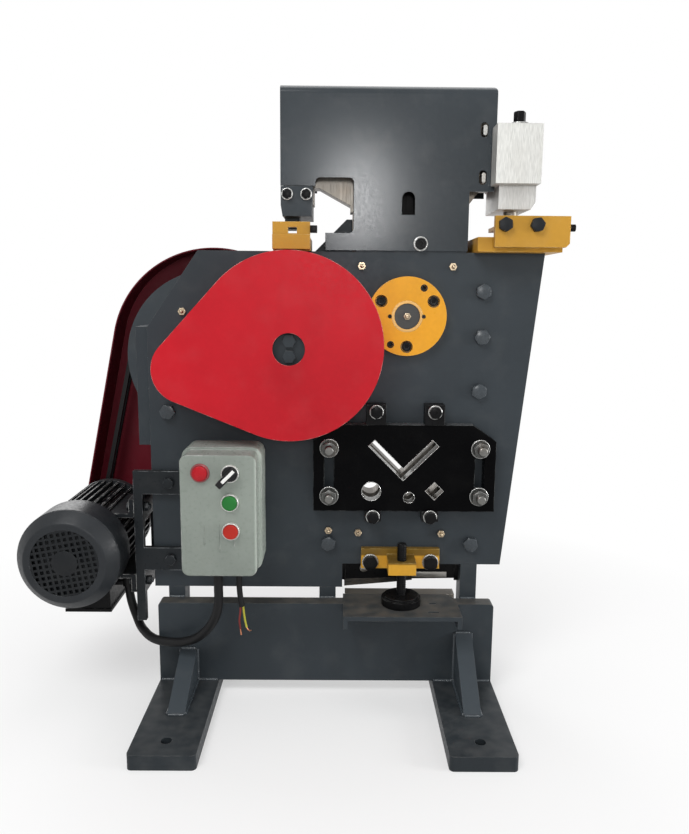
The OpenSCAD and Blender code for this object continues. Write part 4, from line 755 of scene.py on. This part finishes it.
def flange_screws():
    """Cap screws in counterbores, rims of plain holes, set screws and the shaft's nipple."""
    heads, rims, screws, nipple = Form(), Form(), Form(), Form()
    bore = ((10.5, -0.8), (10.5, 0.3), (9.3, 0.3), (9.1, -3.9), (9.6, -3.9))
    for degrees in (30, 150, 270):
        heads.collar(on_flange(SCREW_CIRCLE, degrees, FLANGE_FACE), FRONT, bore)
        heads.socket_head(on_flange(SCREW_CIRCLE, degrees, FLANGE_FACE + 3.4), FRONT, r=8,
                          height=3.5, across=8)
    hole = ((6.2, -0.5), (6.2, 0.2), (4.1, 0.2), (3.8, -6), (4.4, -6))
    for degrees in (60, 240):
        rims.collar(on_flange(HOLE_CIRCLE, degrees, FLANGE_FACE), FRONT, hole)
    grub = ((3.4, 0), (3.4, 1.1), (2.9, 1.3), (2.0, 1.3), (1.7, 0.7))
    for degrees, radius in ((180, 30), (0, 28.5)):
        screws.turned(on_flange(radius, degrees, FLANGE_FACE + 0.5), FRONT, grub, steps=24)
    heads.piece("flange_screw_heads", black_steel, "frame", "flange_screws", slot="black_steel")
    rims.piece("flange_hole_rims", black_steel, "frame", slot="black_steel")
    screws.piece("flange_set_screws", black_steel, "frame", slot="black_steel")
    head = ((3.6, 0), (3.6, 2.2), (2.8, 3.2), (1.4, 3.4), (1.2, 2.6))
    nipple.hex_head(on_flange(0, 0, FLANGE_FACE + 2), FRONT, *NIPPLE_HEAD, any_turn())
    nipple.turned(on_flange(0, 0, FLANGE_FACE - 2), FRONT, head, steps=24)
    nipple.piece("shaft_nipple", brass, "eccentric", slot="bright_steel")


# Controls
LAMP = (-209, 433.5)
SELECTOR = (-159, 433)
START = (-160, 383.5)
STOP = (-159, 334)
BOX_FRONT = -150
GRIP_TURN = Matrix.Rotation(math.radians(-135), 3, "Z")


def on_box(place):
    return place[0], BOX_FRONT, place[1]


def dome(r, base, height, rise):
    """Profile of a cap: straight sides, a rounded shoulder and a crowned top."""
    bend = 1.6
    top = base + height
    side = [(r, base), (r, top - bend)]
    shoulder = [(r - bend + bend * math.cos(a), top - bend + bend * math.sin(a))
                for a in (0.4, 0.8, 1.2)]
    crown = [((r - 1.8) * t, top + rise * (1 - t * t)) for t in (1, 0.8, 0.6, 0.4, 0.2, 0.02)]
    return side + shoulder + crown


def pilot_lamp():
    lens, collar = Form(), Form()
    lens.turned(on_box(LAMP), FRONT, dome(12.7, 2, 5, 1.3))
    lens.piece("lamp_lens", red_lens, "frame", "pilot_lamp", slot="lamp_red")
    collar.turned(on_box(LAMP), FRONT, ((16, 0), (16, 1.8), (15.2, 3.2), (13.6, 3.6), (12.9, 3)))
    collar.piece("lamp_collar", lamp_rim, "frame", "pilot_lamp", slot="lamp_red")


def bezels():
    rings = Form()
    bezel = ((15, 0), (15, 4.2), (14.6, 5.5), (14, 6), (13.4, 5.9), (12.9, 5.2), (12.9, 1))
    for place in (SELECTOR, START, STOP):
        rings.turned(on_box(place), FRONT, bezel, steps=48)
    rings.piece("bezel_rings", plated, "frame", "button_bezels", slot="bright_steel")


def buttons():
    for name, place, material, body, slot in (
            ("start_button", START, start_plastic, "start", "button_green"),
            ("stop_button", STOP, stop_plastic, "stop", "lamp_red")):
        cap = Form()
        cap.turned(on_box(place), FRONT, dome(12.5, 5.5, 3.4, 1.0))
        cap.piece(name + "_cap", material, body, name, slot=slot)


def selector():
    """A round base with a long grip across it, and the grip's white mark."""
    knob, mark = Form(), Form()
    at = on_box(SELECTOR)
    knob.turned(at, FRONT, ((12.5, 2), (12.5, 8.2), (11.7, 9)))
    corners = ((25.2, 3.7, 0), (-11.2, 3.7, 90), (-11.2, -3.7, 180), (25.2, -3.7, 270))
    rows = []
    for w, inset in ((9, 0.0), (18, 0.0), (19.4, 0.6), (20, 1.6)):
        r = 1.8 - inset
        outline = []
        for u, v, start in corners:
            for k in range(4):
                a = math.radians(start + k * 30)
                outline.append(Vector((u + r * math.cos(a), v + r * math.sin(a), w)))
        rows.append([GRIP_TURN @ point for point in outline])
    knob.rows(at, FRONT, rows)
    knob.piece("selector_grip", black_plastic, "selector", "selector_knob", slot="knob_black")
    line = ((-12, -2.7), (15, -2.7), (16, -2.1), (16, 2.1), (15, 2.7), (-12, 2.7))
    rows = [[GRIP_TURN @ Vector((u, v, w)) for u, v in line] for w in (19.6, 20.25)]
    mark.rows(at, FRONT, rows, smooth=False)
    mark.piece("selector_mark", white_mark, "selector", slot="bright_steel")


def enamel_runs():
    """Runs that the enamel left down the box's cover."""
    form = Form()
    count = 12
    for x, high, low in ((-204, 344, 308), (-178.6, 346, 296), (-153.7, 318, 307)):
        heights = [high + (low - high) * k / count for k in range(count + 1)]
        radii = [0.6 + 1.1 * (k / count) ** 2 for k in range(count)] + [0.5]
        form.tube([(x, BOX_FRONT + 0.5, z) for z in heights], radii, 12)
    form.piece("enamel_runs", box_enamel, "frame", slot="box_grey")


# Fan cover: a spun cowl with a face of square holes
FAN_FACE = -152
GRILLE_PITCH = 10.2
GRILLE_REACH = 60
GRILLE_TURN = Matrix.Rotation(math.radians(10), 3, "Z")
BAR_HALF = 2.0


def fan_cover():
    at = (MOTOR[0], FAN_FACE, MOTOR[1])
    cowl, grille = Form(), Form()
    outside = ((86, -84), (88, -84), (88, -23.5), (86.9, -23.2), (86.9, -21.4), (87.7, -21.1),
               (87.7, -20.2), (71.2, -1.3), (69.6, -0.2), (66.5, 0))
    inside = ((58.5, -0.4), (58.5, -2.2), (69, -2.2), (85.4, -20), (86, -22))
    cowl.turned(at, FRONT, outside + inside, steps=72)
    cowl.piece("fan_cowl", motor_paint, "frame", "fan_cover", slot="motor_grey")
    for k in range(-6, 6):
        c = (k + 0.5) * GRILLE_PITCH
        run = math.sqrt(GRILLE_REACH * GRILLE_REACH - c * c)
        left, right = c - BAR_HALF, c + BAR_HALF
        upright = [(left, -run), (right, -run), (right, run), (left, run)]
        level = [(v, u) for u, v in upright]
        for bar, depths in ((upright, (-2.2, -0.8)), (level, (-2.4, -1.0))):
            rows = [[GRILLE_TURN @ Vector((u, v, w)) for u, v in bar] for w in depths]
            grille.rows(at, FRONT, rows, smooth=False)
    disc = ((0.1, -0.3), (21, -0.3), (22, -0.9), (22, -2.2), (0.1, -2.2))
    grille.turned(at, FRONT, disc)
    grille.piece("fan_grille", grille_paint, "frame", "fan_cover", slot="motor_grey")


# Bare metal that shows round the bar holes, on the blade and through the hood's slots
ROUND_BAR = (79, 383)
SMALL_ROUND_BAR = (146, 372)
SQUARE_BAR = (191, 384)
ANGLE_BAR = (135, 402.5)
ANGLE_LEG = 88
ANGLE_WIDTH = 16
LINER_FRONT = 0.25
LINER_BACK = -23.9
HOOD_PINS = ((262.3, 924), (262.3, 1001))


def liner(form, outline, inner):
    """A thin sleeve from the die plate's face to its back, between two outlines."""
    lines = ((outline, LINER_FRONT), (inner, LINER_FRONT), (inner, LINER_BACK),
             (outline, LINER_BACK), (outline, LINER_FRONT))
    rows = [[(u, v, w) for u, v in line] for line, w in lines]
    form.rows((0, DIE_FACE, 0), FRONT, rows, ends=False, smooth=False)


def circle(x, z, r, steps=40):
    angles = [TAU * i / steps for i in range(steps)]
    return [(x + r * math.cos(a), z + r * math.sin(a)) for a in angles]


def diamond(x, z, half):
    return [(x + half, z), (x, z + half), (x - half, z), (x, z - half)]


def angle_slot(inset):
    """The outline of the angle bar's slot, standing on its corner."""
    long, wide = ANGLE_LEG - inset, ANGLE_WIDTH - inset
    corners = ((inset, inset), (long, inset), (long, wide), (wide, wide), (wide, long),
               (inset, long))
    x, z = ANGLE_BAR
    h = math.sqrt(0.5)
    return [(x + (u - v) * h, z + (u + v) * h) for u, v in corners]


def stadium(x, z, r, w, reach=5.0):
    """An upright slot's outline, at a depth."""
    turns = [math.pi * k / 8 for k in range(9)]
    top = [(x + r * math.cos(a), z + reach + r * math.sin(a), w) for a in turns]
    return top + [(x - r * math.cos(a), z - reach - r * math.sin(a), w) for a in turns]


def bare_metal():
    liners, edge, bolt, pins = Form(), Form(), Form(), Form()
    liner(liners, circle(*ROUND_BAR, 17.5), circle(*ROUND_BAR, 16.6))
    liner(liners, circle(*SMALL_ROUND_BAR, 10.4), circle(*SMALL_ROUND_BAR, 9.6))
    liner(liners, diamond(*SQUARE_BAR, 16.8), diamond(*SQUARE_BAR, 15.6))
    liner(liners, angle_slot(-0.4), angle_slot(0.4))
    liners.piece("hole_liners", liner_steel, "frame", slot="bright_steel")
    edge.box((157, BLADE_FACE - 0.15, 204), (225, BLADE_FACE + 0.5, 215), chamfer=0.1)
    edge.piece("blade_edge", grey_steel, "ram", slot="bright_steel")
    x, z = BLADE_BOLT
    bolt.washer((x, BLADE_FACE, z), FRONT, 8, 1.2)
    bolt.hex_head((x, BLADE_FACE - 1.2, z), FRONT, *BLADE_HEAD, any_turn())
    bolt.piece("blade_bolt", grey_steel, "ram", slot="bright_steel")
    for x, z in HOOD_PINS:
        depths = ((3.9, -26), (3.9, 1.4), (3.2, 2.2))
        pins.rows((0, FACE, 0), FRONT, [stadium(x, z, r, w) for r, w in depths])
    pins.piece("hood_pins", grey_steel, "frame", slot="bright_steel")


def shear_pocket():
    """The raked edge of the upper blade, and the strips that close the window beside it."""
    blade, strips = Form(), Form()
    outline = ((33, 186.5), (131, 195.5), (160, 199), (160, 206.5), (131, 203.6), (33, 200))
    rows = [[(u, v, w) for u, v in outline] for w in (-19.5, 20.15)]
    blade.rows((0, 0, 0), FRONT, rows, smooth=False)
    blade.piece("raked_edge", dark_plated, "ram", slot="bright_steel")
    for x in (22, 238.5):
        strips.box((x, -20.85, 199), (x + 13, -20.25, 236), chamfer=0.15)
    strips.piece("window_strips", black_steel, "frame", slot="black_steel")


# Weld beads along the base and the frame's left edge
GUSSETS = ((-250, 62), (250, 95))
GUSSET_HALF = 15
GUSSET_REACH = 119
GUSSET_END = -195
FOOT_HALF = 54
FOOT_TOP = 25
BEAM_FRONT = -75
BEAM_BACK = -47
BEAM_TOP = 174
POSTS = (-275, 2, 261)
POST_HALF = 15
FRAME_LEFT = -315
TACKS = (662, 610, 560, 500, 464)
TACK_DEPTH = -39.5
TACK_HALF = 6
CROSS_HALF = 14
WIDE_BEAD = 3.4
FOOT_BEAD = 3.2
TOP_BEAD = 3
THIN_BEAD = 2.6


def cross_bead(form, x, y, z, r):
    """A bead across a gusset or post."""
    form.bead((x - CROSS_HALF, y, z), (x + CROSS_HALF, y, z), r)


def welds():
    form = Form()
    for x, h in GUSSETS:
        top = FOOT_TOP + h
        for side in (-1, 1):
            edge = x + side * GUSSET_HALF
            outer = x + side * (FOOT_HALF - 2)
            for y, reach in ((BEAM_FRONT, -GUSSET_REACH), (BEAM_BACK, GUSSET_REACH)):
                form.bead((edge, y, FOOT_TOP + 1), (edge, y + reach, FOOT_TOP + 1), WIDE_BEAD)
                form.bead((edge, y, FOOT_TOP + 2), (edge, y, top), WIDE_BEAD)
            for y in (BEAM_FRONT, BEAM_BACK):
                form.bead((outer, y, FOOT_TOP + 0.5), (edge, y, FOOT_TOP + 0.5), FOOT_BEAD)
        cross_bead(form, x, GUSSET_END, FOOT_TOP + 1, THIN_BEAD)
        cross_bead(form, x, BEAM_FRONT - 1, top, TOP_BEAD)
    for x in POSTS:
        cross_bead(form, x, BEAM_BACK + 0.5, BEAM_TOP + 0.5, THIN_BEAD)
        for edge in (x - POST_HALF, x + POST_HALF):
            y = BEAM_BACK + 1
            form.bead((edge, y, BEAM_TOP - 68), (edge, y, BEAM_TOP - 2), THIN_BEAD)
    for z in TACKS:
        low, high = z - TACK_HALF, z + TACK_HALF
        form.bead((FRAME_LEFT, TACK_DEPTH, low), (FRAME_LEFT, TACK_DEPTH, high), THIN_BEAD)
    form.piece("weld_beads", weld_paint, "frame", slot="frame_paint")


frame_bolts()
station_bolts()
ram_bolts()
die_studs()
hold_down_screw()
flange_screws()
pilot_lamp()
bezels()
buttons()
selector()
enamel_runs()
fan_cover()
bare_metal()
shear_pocket()
welds()


# Stage: pale floor, white surroundings, soft lamps. Places are in metres.
FLOOR_HALF = 6.0
FLOOR_GREY = (0.86, 0.86, 0.86, 1)
AMBIENT = 0.26


def make_floor():
    """A pale floor that keeps the part's shadow and fades to white away from it."""
    look = Look("floor", roughness=0.85, base_color=FLOOR_GREY)
    away = look.add("VectorMath", {0: look.place}, operation="LENGTH").outputs["Value"]
    glow = look.math("MULTIPLY", look.remap(away, 0.45, 1.0, 0.35, 1.1), look.seen())
    light = look.add("Emission", {"Color": WHITE, "Strength": 1.0}).outputs[0]
    both = look.add("MixShader", {0: glow, 1: look.shader.outputs[0], 2: light}).outputs[0]
    look.tree.links.new(both, look.tree.nodes["Material Output"].inputs["Surface"])
    mesh = bpy.data.meshes.new("floor")
    near, far = -FLOOR_HALF, FLOOR_HALF
    corners = [(near, near, 0), (far, near, 0), (far, far, 0), (near, far, 0)]
    mesh.from_pydata(corners, [], [(0, 1, 2, 3)])
    mesh.materials.append(look.material)
    floor = bpy.data.objects.new("floor", mesh)
    bpy.context.collection.objects.link(floor)


def make_world():
    world = bpy.data.worlds.new("studio")
    world.use_nodes = True
    graph = Graph(world.node_tree)
    background = graph.tree.nodes["Background"]
    graph.feed(background.inputs["Color"], WHITE)
    strength = graph.remap(graph.seen(), AMBIENT, 1.0, 0.0, 1.0)
    graph.feed(background.inputs["Strength"], strength)
    bpy.context.scene.world = world


def area_light(name, place, target, size, watts, height=None):
    data = bpy.data.lights.new(name, "AREA")
    data.shape = "RECTANGLE" if height else "DISK"
    data.size = size
    if height:
        data.size_y = height
    data.energy = watts
    lamp = bpy.data.objects.new(name, data)
    lamp.location = place
    lamp.rotation_mode = "QUATERNION"
    lamp.rotation_quaternion = (Vector(target) - Vector(place)).to_track_quat("-Z", "Y")
    bpy.context.collection.objects.link(lamp)


make_floor()
make_world()
area_light("key", (-0.9, -1.7, 2.5), (0, 0, 0.75), size=1.3, watts=39.5)
area_light("fill", (2.0, -1.8, 1.9), (0, 0, 0.7), size=1.8, watts=8)
area_light("side", (2.3, -0.7, 0.7), (0, 0, 0.5), size=0.8, watts=24)
area_light("glow", (0.11, -2.6, 1.19), (0.07, 0, 0.9), size=0.18, watts=12, height=0.4)
area_light("top", (0.1, 0.5, 2.9), (0, 0, 0.6), size=1.8, watts=20)
area_light("back", (-1.6, 2.4, 1.8), (0, 0, 0.5), size=1.8, watts=26)

bpy.context.scene.view_settings.view_transform = "Standard"
